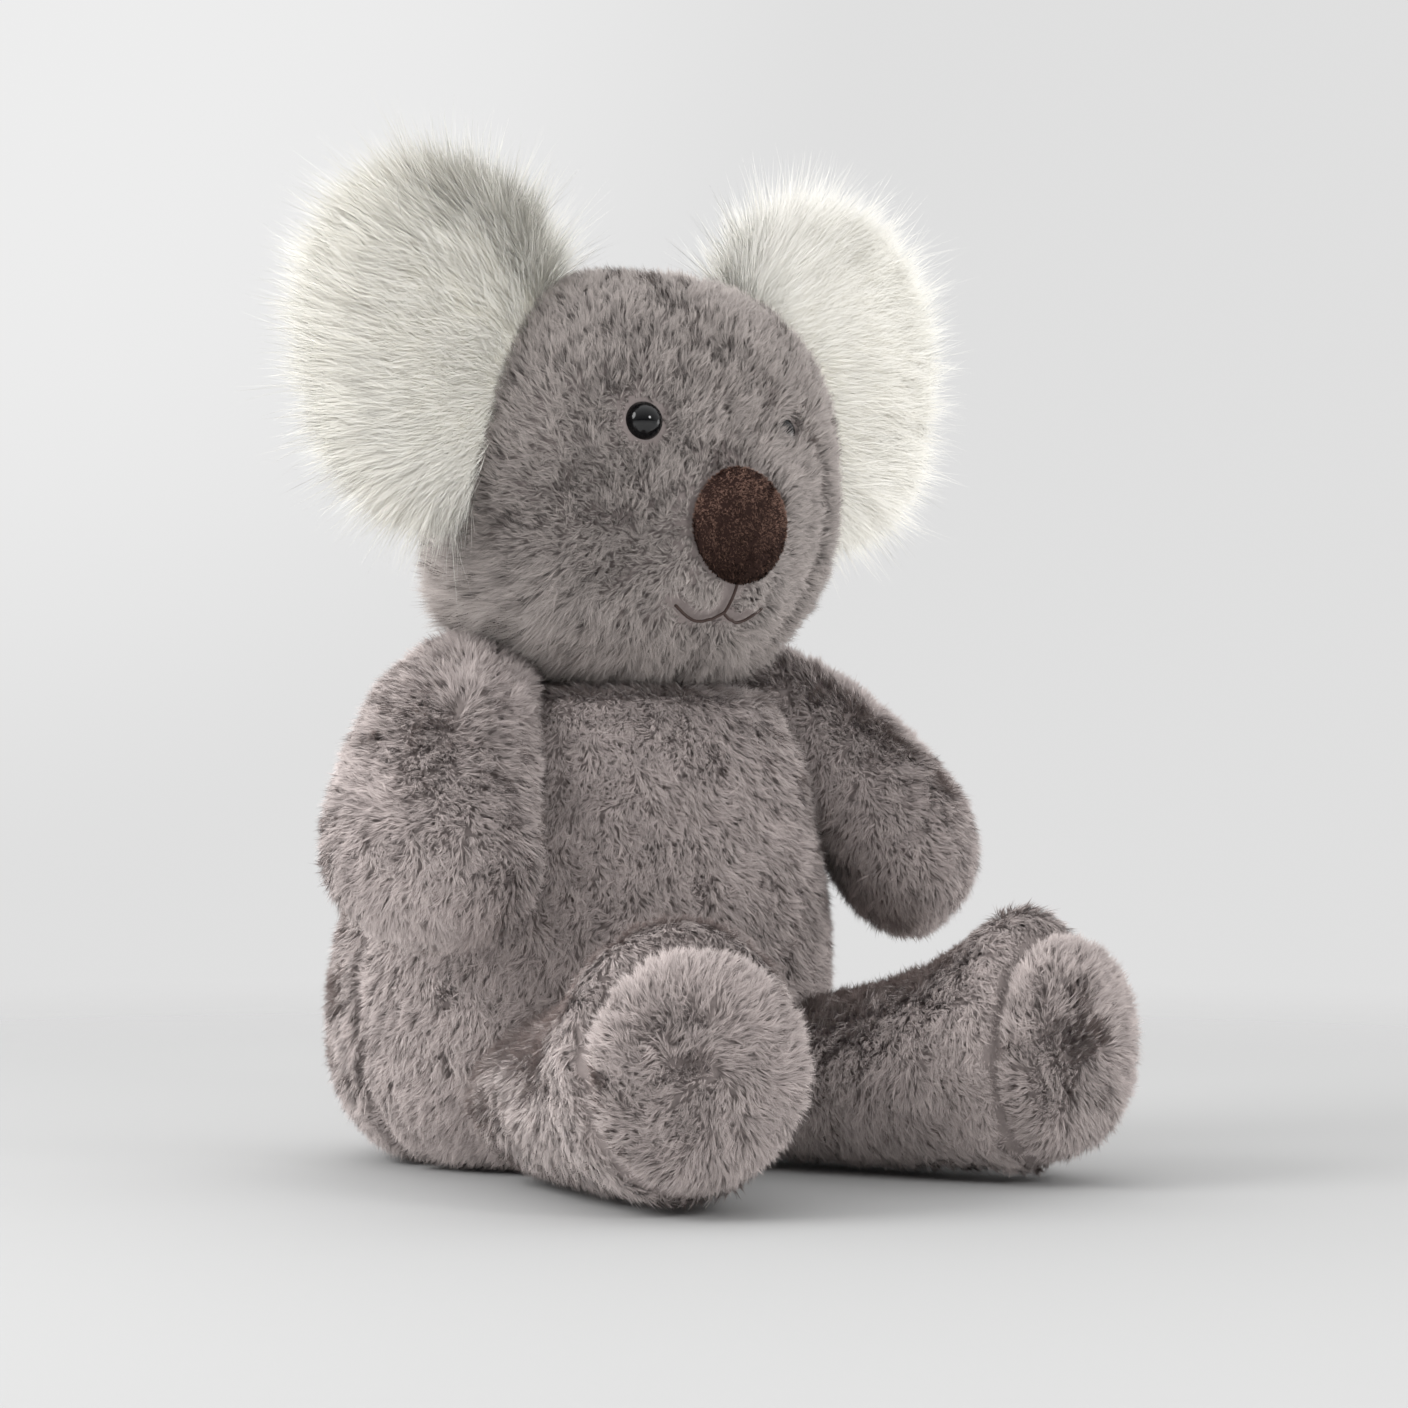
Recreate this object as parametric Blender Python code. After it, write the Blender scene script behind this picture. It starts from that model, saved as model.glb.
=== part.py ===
"""A seated plush koala: sewn skin panels over stuffing, with eyes, nose, mouth thread and fluffy ears.

+Z is up, the koala faces -Y, and its own left is +X. The origin is on the ground, under the seat.
"""

import math

import bmesh
import bpy
from mathutils import Matrix, Vector

# Cloth and clearances
SKIN = 0.008
GAP = 0.0003
GROUND_CUT = 0.0005
SWEEP_GAP = 0.0008
ARM_HEAD_GAP = 0.003

# Body
BODY_HEIGHT = 0.157
BODY_WIDTH = 0.162
BODY_DEPTH = 0.154
BODY_LEAN = 0.026
BODY_SEAM_Y = 0.004
POUCH_WIDTH = 0.084
POUCH_DEPTH = 0.070
POUCH_HEIGHT = 0.026
POUCH_SINK = 0.005

# Head
HEAD_WIDTH = 0.140
HEAD_HEIGHT = 0.132
HEAD_FRONT = 0.050
HEAD_BACK = 0.055
HEAD_Y = -0.032
HEAD_Z = 0.2143
NECK_BALL = 0.020
NECK_Y = -0.028
NECK_Z = 0.151
HEAD_TURN = 25.0
HEAD_NOD_DOWN = 10.0
HEAD_NOD_UP = -8.0

# Face
EYE_SPACING = 0.061
EYE_Z = 0.2273
EYE_DIAMETER = 0.012
EYE_DOME = 0.0055
EYE_SHANK_DIAMETER = 0.0034
EYE_SHANK_LENGTH = 0.012
EYE_RECESS = 0.007
WASHER_DIAMETER = 0.015
WASHER_THICKNESS = 0.002
NOSE_WIDTH = 0.038
NOSE_HEIGHT = 0.037
NOSE_DEPTH = 0.012
NOSE_Z = 0.1966
NOSE_RECESS = 0.003
MOUTH_WIDTH = 0.030
MOUTH_DROP = 0.0065
MOUTH_SAG = 0.0028
THREAD_DIAMETER = 0.0016

# Ears
EAR_WIDTH = 0.090
EAR_HEIGHT = 0.118
EAR_FRONT = 0.024
EAR_BACK = 0.017
EAR_X = 0.0755
EAR_Z = 0.2515
EAR_ROOT_RADIUS = 0.009
EAR_ROOT_LENGTH = 0.056
EAR_ROOT_X = 0.0600
EAR_ROOT_Z = 0.241
EAR_ROOT_SLANT = 66.0
EAR_FLEX = 12.0

# Arms
SHOULDER_X = 0.050
SHOULDER_Y = -0.028
SHOULDER_Z = 0.1455
SHOULDER_BALL = 0.019
ARM_LENGTH = 0.095
ARM_WIDTH = 0.066
ARM_THICKNESS = 0.050
ARM_SPREAD = 56.0
ARM_DROOP = 47.0
ARM_BOW = 0.006
ARM_LIFT_BEARING = 45.0
ARM_LIFT = 45.0
ARM_HOLE = 0.009

# Legs
HIP_X = 0.043
HIP_Y = -0.060
HIP_Z = 0.0265
HIP_BALL = 0.027
LEG_LENGTH = 0.114
LEG_SPLAY = 15.5
LEG_HEIGHT = 0.050
LEG_WIDTH = 0.062
FOOT_HEIGHT = 0.081
FOOT_WIDTH = 0.075
SOLE_DIAMETER = 0.066
SOLE_DOME = 0.012
LEG_RAISE = 35.0

# Facets
BODY_SEGMENTS = 24
LIMB_SEGMENTS = 16
INNER_SEGMENTS = 14
BALL_SEGMENTS = 16
NECK_SEGMENTS = 24
SMALL_RINGS = 8
SMALL_SEGMENTS = 12
THREAD_SEGMENTS = 6

FORWARD = Vector((0, -1, 0))
UP = Vector((0, 0, 1))
SIDES = (("right", -1), ("left", 1))

# Rows of shares run from the root or base of a form to its far end: place, width, depth, and drift of the centre
BODY_SHARES = (
    (0.00, 0.00, 0.00, 0.00),
    (0.00, 0.62, 0.60, 0.00),
    (0.03, 0.79, 0.77, 0.00),
    (0.14, 0.95, 0.94, 0.03),
    (0.32, 1.00, 1.00, 0.14),
    (0.50, 0.97, 0.95, 0.32),
    (0.68, 0.86, 0.83, 0.58),
    (0.83, 0.74, 0.71, 0.82),
    (0.94, 0.57, 0.54, 0.96),
    (1.00, 0.00, 0.00, 1.00),
)
ARM_SHARES = (
    (-0.20, 0.00, 0.00, 0.08),
    (-0.17, 0.40, 0.42, 0.09),
    (-0.06, 0.63, 0.73, 0.11),
    (0.12, 0.78, 0.91, 0.11),
    (0.34, 0.87, 0.95, 0.08),
    (0.58, 0.96, 0.99, 0.03),
    (0.76, 1.00, 1.00, 0.00),
    (0.90, 0.84, 0.80, 0.00),
    (0.98, 0.48, 0.44, 0.00),
    (1.00, 0.00, 0.00, 0.00),
)
# Legs: place along the leg, then the shares of the rise from shin to foot, in height and in width
LEG_SHARES = (
    (-0.22, -1.00, -1.00),
    (-0.16, -0.42, -0.36),
    (0.00, 0.00, -0.02),
    (0.26, 0.22, 0.14),
    (0.48, 0.50, 0.42),
    (0.64, 0.79, 0.76),
    (0.76, 1.00, 1.00),
    (0.84, 0.94, 0.96),
)
SOLE_SHARES = ((0.35, 0.92), (0.72, 0.66), (0.93, 0.32), (1.00, 0.00))
ROUNDNESS_SHARE = 2.5
EAR_ROUNDNESS_SHARE = 2.2
OVAL_SHARE = 2.0
MOUTH_CORNER_SHARE = 0.87


def clear_scene():
    for obj in list(bpy.data.objects):
        bpy.data.objects.remove(obj)


def material(name, colour, roughness, sheen=0.0):
    made = bpy.data.materials.new(name)
    made.use_nodes = True
    shader = made.node_tree.nodes["Principled BSDF"]
    shader.inputs["Base Color"].default_value = (*colour, 1)
    shader.inputs["Roughness"].default_value = roughness
    shader.inputs["Sheen Weight"].default_value = sheen
    return made


def materials():
    return {
        "grey_plush": material("grey_plush", (0.29, 0.26, 0.245), 0.95, 0.4),
        "white_pile": material("white_pile", (0.86, 0.84, 0.78), 0.9, 0.4),
        "nose_velvet": material("nose_velvet", (0.055, 0.028, 0.024), 0.85, 0.2),
        "eye_plastic": material("eye_plastic", (0.006, 0.006, 0.007), 0.06),
        "thread": material("thread", (0.06, 0.035, 0.03), 0.7),
        "fibre": material("fibre", (0.88, 0.88, 0.86), 1.0),
        "pouch_cloth": material("pouch_cloth", (0.75, 0.74, 0.70), 0.9),
        "washer_plastic": material("washer_plastic", (0.85, 0.85, 0.83), 0.45),
    }


def mesh_object(name, rings, cutter=False):
    """A closed mesh through rings of points. A ring of one point is a pole."""
    mesh = bpy.data.meshes.new(name)
    sheet = bmesh.new()
    rows = [[sheet.verts.new(point) for point in ring] for ring in rings]
    for low, high in zip(rows, rows[1:]):
        count = max(len(low), len(high))
        for i in range(count):
            corners = [low[i % len(low)], low[(i + 1) % len(low)]]
            corners += [high[(i + 1) % len(high)], high[i % len(high)]]
            sheet.faces.new(list(dict.fromkeys(corners)))
    bmesh.ops.recalc_face_normals(sheet, faces=sheet.faces)
    sheet.to_mesh(mesh)
    sheet.free()
    mesh.shade_smooth()
    made = bpy.data.objects.new(name, mesh)
    bpy.context.collection.objects.link(made)
    if cutter:
        made.hide_render = True
        made.display_type = "WIRE"
    return made


def power(value, exponent):
    return math.copysign(abs(value) ** exponent, value)


def section(centre, across, up, half_width, half_up, half_down, segments, roundness=OVAL_SHARE):
    """One closed ring: half_up reaches along up, half_down the other way."""
    ring = []
    for i in range(segments):
        angle = 2 * math.pi * i / segments
        sine = power(math.sin(angle), 2 / roundness)
        reach = half_up if sine > 0 else half_down
        ring.append(centre + across * half_width * power(math.cos(angle), 2 / roundness) + up * reach * sine)
    return ring


def body_form(grow, segments):
    """The pear-shaped body, from the seat to the neck."""
    rings = []
    for place, width, depth, drift in BODY_SHARES:
        height = -GROUND_CUT - grow + place * (BODY_HEIGHT + GROUND_CUT + 2 * grow)
        centre = Vector((0, -BODY_LEAN * drift, height))
        if width < GAP:
            rings.append([centre])
            continue
        half_width = width * (BODY_WIDTH / 2 + grow)
        half_depth = depth * (BODY_DEPTH / 2 + grow)
        rings.append(section(centre, Vector((1, 0, 0)), FORWARD, half_width, half_depth, half_depth, segments))
    return rings


def round_form(centre, half_width, half_front, half_back, half_height, roundness, segments, levels):
    """A rounded box or ball, flatter in front and behind as roundness grows."""
    rings = [[centre - UP * half_height]]
    for i in range(1, levels):
        angle = math.pi * (i / levels - 0.5)
        height = half_height * power(math.sin(angle), 2 / roundness)
        share = math.cos(angle) ** (2 / roundness)
        rings.append(
            section(
                centre + UP * height,
                Vector((1, 0, 0)),
                FORWARD,
                half_width * share,
                half_front * share,
                half_back * share,
                segments,
                roundness,
            )
        )
    rings.append([centre + UP * half_height])
    return rings


def head_form(grow, segments, levels):
    return round_form(
        Vector((0, HEAD_Y, HEAD_Z)),
        HEAD_WIDTH / 2 + grow,
        HEAD_FRONT + grow,
        HEAD_BACK + grow,
        HEAD_HEIGHT / 2 + grow,
        ROUNDNESS_SHARE,
        segments,
        levels,
    )


def on_face(x, z, depth=0.0):
    """The point of the head's front at x and z, this far under its surface, and the way out of it there."""
    half = (HEAD_WIDTH / 2, HEAD_FRONT, HEAD_HEIGHT / 2)
    left = 1 - abs(x / half[0]) ** ROUNDNESS_SHARE - abs((z - HEAD_Z) / half[2]) ** ROUNDNESS_SHARE
    forward = half[1] * left ** (1 / ROUNDNESS_SHARE)
    place = (x, -forward, z - HEAD_Z)
    slope = [power(p / h, ROUNDNESS_SHARE - 1) / h for p, h in zip(place, half)]
    outward = Vector(slope).normalized()
    return Vector((x, HEAD_Y - forward, z)) - outward * depth, outward


def ear_form(side, grow, segments, levels):
    return round_form(
        Vector((side * EAR_X, HEAD_Y, EAR_Z)),
        EAR_WIDTH / 2 + grow,
        EAR_FRONT + grow,
        EAR_BACK + grow,
        EAR_HEIGHT / 2 + grow,
        EAR_ROUNDNESS_SHARE,
        segments,
        levels,
    )


def neck_centre():
    return Vector((0, NECK_Y, NECK_Z))


def shoulder(side):
    return Vector((side * SHOULDER_X, SHOULDER_Y, SHOULDER_Z))


def arm_axis(side):
    """The way the arm hangs, from shoulder to hand."""
    spread = math.radians(ARM_SPREAD)
    droop = math.radians(ARM_DROOP)
    level = Vector((side * math.sin(spread), -math.cos(spread), 0))
    return (level * math.cos(droop) - UP * math.sin(droop)).normalized()


def arm_form(side, grow, segments):
    """The paddle-shaped arm, its broad side facing out and forward."""
    axis = arm_axis(side)
    facing = Vector((side, -1, 0)).normalized()
    across = axis.cross(facing).normalized()
    facing = across.cross(axis).normalized()
    bow = axis.cross(UP).cross(axis).normalized()
    rings = []
    for place, width, thick, drift in ARM_SHARES:
        start = ARM_SHARES[0][0]
        share = (place - start) / (1 - start)
        centre = shoulder(side) + axis * (ARM_LENGTH * place + grow * (2 * share - 1))
        centre += bow * (ARM_BOW * math.sin(math.pi * max(place, 0))) + across * (-side * ARM_WIDTH * drift)
        if width < GAP:
            rings.append([centre])
            continue
        half_width = width * (ARM_WIDTH / 2 + grow)
        half_thick = thick * (ARM_THICKNESS / 2 + grow)
        rings.append(section(centre, across, facing, half_width, half_thick, half_thick, segments))
    return rings


def hip(side):
    return Vector((side * HIP_X, HIP_Y, HIP_Z))


def leg_axis(side):
    splay = math.radians(LEG_SPLAY)
    return Vector((side * math.sin(splay), -math.cos(splay), 0))


def leg_form(side, grow, segments):
    """The leg lies forward along the ground, swells to the foot and ends in the domed sole."""
    axis = leg_axis(side)
    across = axis.cross(UP)
    rings = []
    root = LEG_SHARES[0][0]
    base = hip(side)
    base.z = 0
    shin = LEG_HEIGHT / 2 + GROUND_CUT
    rise = FOOT_HEIGHT / 2 + GROUND_CUT - shin
    widening = (FOOT_WIDTH - LEG_WIDTH) / 2
    for place, high, wide in LEG_SHARES:
        share = (place - root) / (1 - root)
        along = axis * (LEG_LENGTH * place + grow * (2 * share - 1))
        if high <= -1:
            rings.append([base + along + UP * (shin - GROUND_CUT)])
            continue
        half_height = shin + (rise if high > 0 else shin) * high
        half_width = LEG_WIDTH / 2 + (widening if wide > 0 else LEG_WIDTH / 2) * wide
        middle = max(half_height, shin) - GROUND_CUT
        ring_centre = base + along + UP * middle
        rings.append(
            section(ring_centre, across, UP, half_width + grow, half_height + grow, half_height + grow, segments)
        )
    ring_at = LEG_LENGTH - SOLE_DOME
    middle = FOOT_HEIGHT / 2
    half = SOLE_DIAMETER / 2 + grow
    seam_centre = base + axis * (ring_at + grow / 2) + UP * middle
    rings.append(section(seam_centre, across, UP, half, half, half, segments))
    for along_share, half_share in SOLE_SHARES:
        centre = base + axis * (ring_at + grow / 2 + (SOLE_DOME + grow / 2) * along_share) + UP * middle
        if half_share < GAP:
            rings.append([centre])
        else:
            rings.append(section(centre, across, UP, half * half_share, half * half_share, half * half_share, segments))
    return rings


def ball(name, centre, radius, axis, cutter=True, segments=BALL_SEGMENTS):
    """A ball whose poles lie on the axis it turns about."""
    turn = axis.to_track_quat("Z", "Y").to_matrix()
    across = turn @ Vector((1, 0, 0))
    other = turn @ Vector((0, 1, 0))
    rings = [[centre - axis * radius]]
    for i in range(1, segments // 2):
        angle = math.pi * (2 * i / segments - 0.5)
        share = radius * math.cos(angle)
        rings.append(section(centre + axis * radius * math.sin(angle), across, other, share, share, share, segments))
    rings.append([centre + axis * radius])
    return mesh_object(name, rings, cutter)


def pocket_radius(radius, segments=BALL_SEGMENTS):
    """A faceted pocket this large is clear of a faceted ball as the ball turns."""
    return (radius + GAP) / math.cos(math.pi / segments) ** 2


def turned_profile(name, centre, axis, profile, segments=SMALL_SEGMENTS, cutter=False):
    """A turned piece. The profile is a list of (along the axis, radius)."""
    turn = axis.to_track_quat("Z", "Y").to_matrix()
    across = turn @ Vector((1, 0, 0))
    other = turn @ Vector((0, 1, 0))
    rings = []
    for along, radius in profile:
        place = centre + axis * along
        rings.append([place] if radius == 0 else section(place, across, other, radius, radius, radius, segments))
    return mesh_object(name, rings, cutter)


def rod(name, centre, axis, radius, start, end, segments=SMALL_SEGMENTS, cutter=True):
    profile = ((start, 0), (start, radius), (end, radius), (end, 0))
    return turned_profile(name, centre, axis, profile, segments, cutter)


def block(name, low, high):
    """A box that cuts away everything between two corners."""
    corners = [(low[0], low[1]), (high[0], low[1]), (high[0], high[1]), (low[0], high[1])]
    rings = [[Vector((x, y, z)) for x, y in corners] for z in (low[2], high[2])]
    made = mesh_object(name, rings, True)
    sheet = bmesh.new()
    sheet.from_mesh(made.data)
    bmesh.ops.holes_fill(sheet, edges=[edge for edge in sheet.edges if edge.is_boundary], sides=4)
    bmesh.ops.recalc_face_normals(sheet, faces=sheet.faces)
    sheet.to_mesh(made.data)
    sheet.free()
    return made


def boolean(obj, operation, others, solver):
    for other in others:
        step = obj.modifiers.new(f"{operation.lower()} {other.name}", "BOOLEAN")
        step.operation = operation
        step.solver = solver
        step.object = other
    return obj


def cut(obj, *others, solver="EXACT"):
    return boolean(obj, "DIFFERENCE", others, solver)


def join(obj, *others, solver="EXACT"):
    return boolean(obj, "UNION", others, solver)


def finish(obj, look):
    obj.data.materials.append(look)
    return obj


def turned(obj, pivot, axis, degrees, name):
    """A copy of a cutter, turned about a joint."""
    copy = bpy.data.objects.new(name, obj.data)
    bpy.context.collection.objects.link(copy)
    copy.hide_render = True
    copy.display_type = "WIRE"
    turn = Matrix.Rotation(math.radians(degrees), 4, axis)
    copy.matrix_world = Matrix.Translation(pivot) @ turn @ Matrix.Translation(-pivot) @ obj.matrix_world
    return copy


def steps_between(low, high, count):
    return [low + (high - low) * i / (count - 1) for i in range(count)]


def half_spaces():
    """Large boxes that part the panels along their seams and cut what would reach under the ground."""
    far = BODY_HEIGHT + HEAD_HEIGHT + EAR_HEIGHT
    half_gap = GAP / 2
    return {
        "behind_body_seam": block("behind_body_seam", (-far, BODY_SEAM_Y - half_gap, -far), (far, far, far)),
        "before_body_seam": block("before_body_seam", (-far, -far, -far), (far, BODY_SEAM_Y + half_gap, far)),
        "behind_head_seam": block("behind_head_seam", (-far, HEAD_Y - half_gap, -far), (far, far, far)),
        "before_head_seam": block("before_head_seam", (-far, -far, -far), (far, HEAD_Y + half_gap, far)),
        "past_middle_left": block("past_middle_left", (-half_gap, -far, -far), (far, far, far)),
        "past_middle_right": block("past_middle_right", (-far, -far, -far), (half_gap, far, far)),
        "ground": block("ground", (-far, -far, -far), (far, far, 0)),
    }


def lift_axis(side):
    """The arm lifts forward and outward, about a level line across this bearing."""
    bearing = math.radians(ARM_LIFT_BEARING)
    outward = Vector((side * math.sin(bearing), -math.cos(bearing), 0))
    return (-UP).cross(outward).normalized()


def raise_axis(side):
    return leg_axis(side).cross(UP).normalized()


def ear_axis(side):
    """The line that the ear bends about, from its lower to its upper end."""
    slant = math.radians(EAR_ROOT_SLANT)
    return Vector((-side * math.cos(slant), 0, math.sin(slant)))


def ear_root(side):
    return Vector((side * EAR_ROOT_X, HEAD_Y, EAR_ROOT_Z))


def ear_rod(name, side, grow):
    half = EAR_ROOT_LENGTH / 2 + grow
    radius = EAR_ROOT_RADIUS + grow
    return rod(name, ear_root(side), ear_axis(side), radius, -half, half, BALL_SEGMENTS)


def head_pockets():
    """The neck's socket and the grooves that the ears are sewn into."""
    neck_pocket = pocket_radius(NECK_BALL, NECK_SEGMENTS)
    made = [ball("neck_pocket", neck_centre(), neck_pocket, UP, True, NECK_SEGMENTS)]
    groove_grow = pocket_radius(EAR_ROOT_RADIUS) - EAR_ROOT_RADIUS
    for name, side in SIDES:
        made.append(ear_rod(f"{name}_ear_groove", side, groove_grow))
    return made


def make_eyes(looks):
    """Domed eyes on shanks that pass through the face into washers."""
    cuts = {}
    radius = EYE_DIAMETER / 2
    shank = EYE_SHANK_DIAMETER / 2
    for name, side in SIDES:
        place, outward = on_face(side * EYE_SPACING / 2, EYE_Z, EYE_RECESS)
        dome = [(GAP + EYE_DOME * math.sin(a), radius * math.cos(a)) for a in steps_between(0, math.pi / 2, 6)]
        dome[-1] = (dome[-1][0], 0)
        profile = [(GAP - EYE_SHANK_LENGTH, 0), (GAP - EYE_SHANK_LENGTH, shank), (GAP, shank), *dome]
        eye = turned_profile(f"{name}_eye", place, outward, profile)
        finish(eye, looks["eye_plastic"])
        wall = SKIN - EYE_RECESS
        top = -wall - GAP
        bottom = top - WASHER_THICKNESS
        hole = shank + GAP
        rim = WASHER_DIAMETER / 2
        washer = rod(f"{name}_eye_washer", place, outward, rim, bottom, top, cutter=False)
        bore = rod(f"{name}_washer_bore", place, outward, hole, bottom - SKIN, top + SKIN)
        finish(cut(washer, bore), looks["washer_plastic"])
        low = -EYE_SHANK_LENGTH - GAP
        high = SKIN * 2
        profile = [(low, 0), (low, rim + GAP), (-wall, rim + GAP), (-wall, hole)]
        profile += [(0, hole), (0, radius + GAP), (high, radius + GAP), (high, 0)]
        cuts[name] = turned_profile(f"{name}_eye_opening", place, outward, profile, cutter=True)
    return cuts


def make_nose(looks):
    """A padded velvet oval, sunk into the pile."""
    place, _ = on_face(0, NOSE_Z, NOSE_RECESS)
    size = (NOSE_WIDTH / 2, NOSE_DEPTH, NOSE_DEPTH, NOSE_HEIGHT / 2)

    def form(name, grow, cutter):
        half = [value + grow for value in size]
        rings = round_form(place, half[0], half[1], half[2], half[3], OVAL_SHARE, SMALL_SEGMENTS, SMALL_RINGS)
        return mesh_object(name, rings, cutter)

    nose = form("nose", 0, False)
    backing = mesh_object("under_nose", head_form(GAP - NOSE_RECESS, BODY_SEGMENTS, BODY_SEGMENTS // 2), True)
    finish(cut(nose, backing), looks["nose_velvet"])
    pocket = form("nose_pocket", GAP, True)
    floor = mesh_object("nose_pocket_floor", head_form(-NOSE_RECESS, BODY_SEGMENTS, BODY_SEGMENTS // 2), True)
    return cut(pocket, floor)


def thread_tube(name, route, cutter=False):
    """A thread through points that lie on the face, standing just clear of it."""
    radius = THREAD_DIAMETER / 2
    points = []
    for x, z in route:
        place, outward = on_face(x, z, -radius - GAP)
        points.append((place, outward))
    rings = []
    for i, (place, outward) in enumerate(points):
        ahead = points[min(i + 1, len(points) - 1)][0] - points[max(i - 1, 0)][0]
        ahead.normalize()
        across = ahead.cross(outward).normalized()
        out = across.cross(ahead)
        rings.append(section(place, across, out, radius, radius, radius, THREAD_SEGMENTS))
    return mesh_object(name, [[points[0][0]], *rings, [points[-1][0]]], cutter)


def make_mouth(looks):
    """One stitched thread: a short line down from the nose and a wide curve across it."""
    top = NOSE_Z - NOSE_HEIGHT / 2 - THREAD_DIAMETER
    low = top - MOUTH_DROP
    half = MOUTH_WIDTH / 2
    curve = []
    for share in steps_between(-1, 1, 15):
        dip = math.sin(math.pi * min(abs(share) / MOUTH_CORNER_SHARE, 1))
        rise = max(abs(share) / MOUTH_CORNER_SHARE - 1, 0)
        curve.append((half * share, low - MOUTH_SAG * dip + MOUTH_WIDTH / 4 * rise))
    mouth = thread_tube("mouth_thread", curve)
    line = thread_tube("mouth_line", [(0, z) for z in steps_between(top, low - THREAD_DIAMETER / 4, 4)], True)
    return finish(join(mouth, line), looks["thread"])


def make_head(looks, spaces, eye_cuts, nose_pocket, pockets):
    """Two face panels that meet at the middle seam, a back panel, and the stuffing."""
    hollow = mesh_object("head_hollow", head_form(-SKIN, INNER_SEGMENTS, INNER_SEGMENTS // 2), True)
    panels = {
        "face_right": ["past_middle_left", "behind_head_seam"],
        "face_left": ["past_middle_right", "behind_head_seam"],
        "head_back": ["before_head_seam"],
    }
    for name, sides in panels.items():
        panel = mesh_object(name, head_form(0, BODY_SEGMENTS, BODY_SEGMENTS // 2))
        cut(panel, *[spaces[side] for side in sides])
        cut(panel, hollow, *pockets)
        if name.startswith("face"):
            cut(panel, nose_pocket, eye_cuts[name.split("_")[1]])
        finish(panel, looks["grey_plush"])
    fill = mesh_object("head_stuffing", head_form(-SKIN - GAP, INNER_SEGMENTS, INNER_SEGMENTS // 2))
    cut(fill, *pockets, eye_cuts["right"], eye_cuts["left"])
    finish(fill, looks["fibre"])


def neck_poses():
    """The head's form as it turns and nods, which the body and arms keep clear of."""
    neck = neck_centre()
    form = mesh_object("head_clearance", head_form(SWEEP_GAP, BODY_SEGMENTS, BODY_SEGMENTS // 2), True)
    made = [form]
    for nod in (HEAD_NOD_UP, HEAD_NOD_DOWN):
        nodded = turned(form, neck, Vector((1, 0, 0)), nod, f"head_clearance_nod_{nod:.0f}")
        for turn in (-HEAD_TURN, 0, HEAD_TURN):
            made.append(turned(nodded, neck, UP, turn, f"{nodded.name}_turn_{turn:.0f}"))
    return made


def make_body(looks, spaces, head_poses, neck_pocket):
    """Front and back panels that meet at the side seams, stuffing, and a pouch of pellets in the seat."""
    hollow = mesh_object("body_hollow", body_form(-SKIN, INNER_SEGMENTS), True)
    pockets = [neck_pocket]
    for name, side in SIDES:
        arm_ball = pocket_radius(SHOULDER_BALL)
        leg_ball = pocket_radius(HIP_BALL)
        pockets.append(ball(f"{name}_shoulder_pocket", shoulder(side), arm_ball, lift_axis(side)))
        pockets.append(ball(f"{name}_hip_pocket", hip(side), leg_ball, raise_axis(side)))
    for name, beyond in (("body_front", "behind_body_seam"), ("body_back", "before_body_seam")):
        panel = mesh_object(name, body_form(0, BODY_SEGMENTS))
        cut(panel, hollow, *head_poses, *pockets, spaces[beyond], spaces["ground"])
        finish(panel, looks["grey_plush"])
    pouch_low = SKIN + GAP
    pouch_centre = Vector((0, 0, pouch_low + POUCH_HEIGHT / 2 - POUCH_SINK))
    pouch_size = (POUCH_WIDTH / 2, POUCH_DEPTH / 2, POUCH_DEPTH / 2, POUCH_HEIGHT / 2)

    def pouch_form(name, grow, cutter):
        half = [value + grow for value in pouch_size]
        rings = round_form(pouch_centre, *half, OVAL_SHARE, SMALL_SEGMENTS, SMALL_RINGS)
        return mesh_object(name, rings, cutter)

    under = block("under_pouch", (-BODY_WIDTH, -BODY_WIDTH, -BODY_WIDTH), (BODY_WIDTH, BODY_WIDTH, pouch_low))
    pouch = pouch_form("seat_pellet_pouch", 0, False)
    finish(cut(pouch, under), looks["pouch_cloth"])
    fill = mesh_object("body_stuffing", body_form(-SKIN - GAP, INNER_SEGMENTS))
    head_gap = mesh_object("head_over_stuffing", head_form(SKIN, BODY_SEGMENTS, BODY_SEGMENTS // 2), True)
    cut(fill, head_gap, *pockets, pouch_form("pouch_pocket", GAP, True))
    finish(fill, looks["fibre"])


def make_neck(looks):
    finish(ball("neck_stuffing", neck_centre(), NECK_BALL, UP, False, NECK_SEGMENTS), looks["fibre"])


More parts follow.
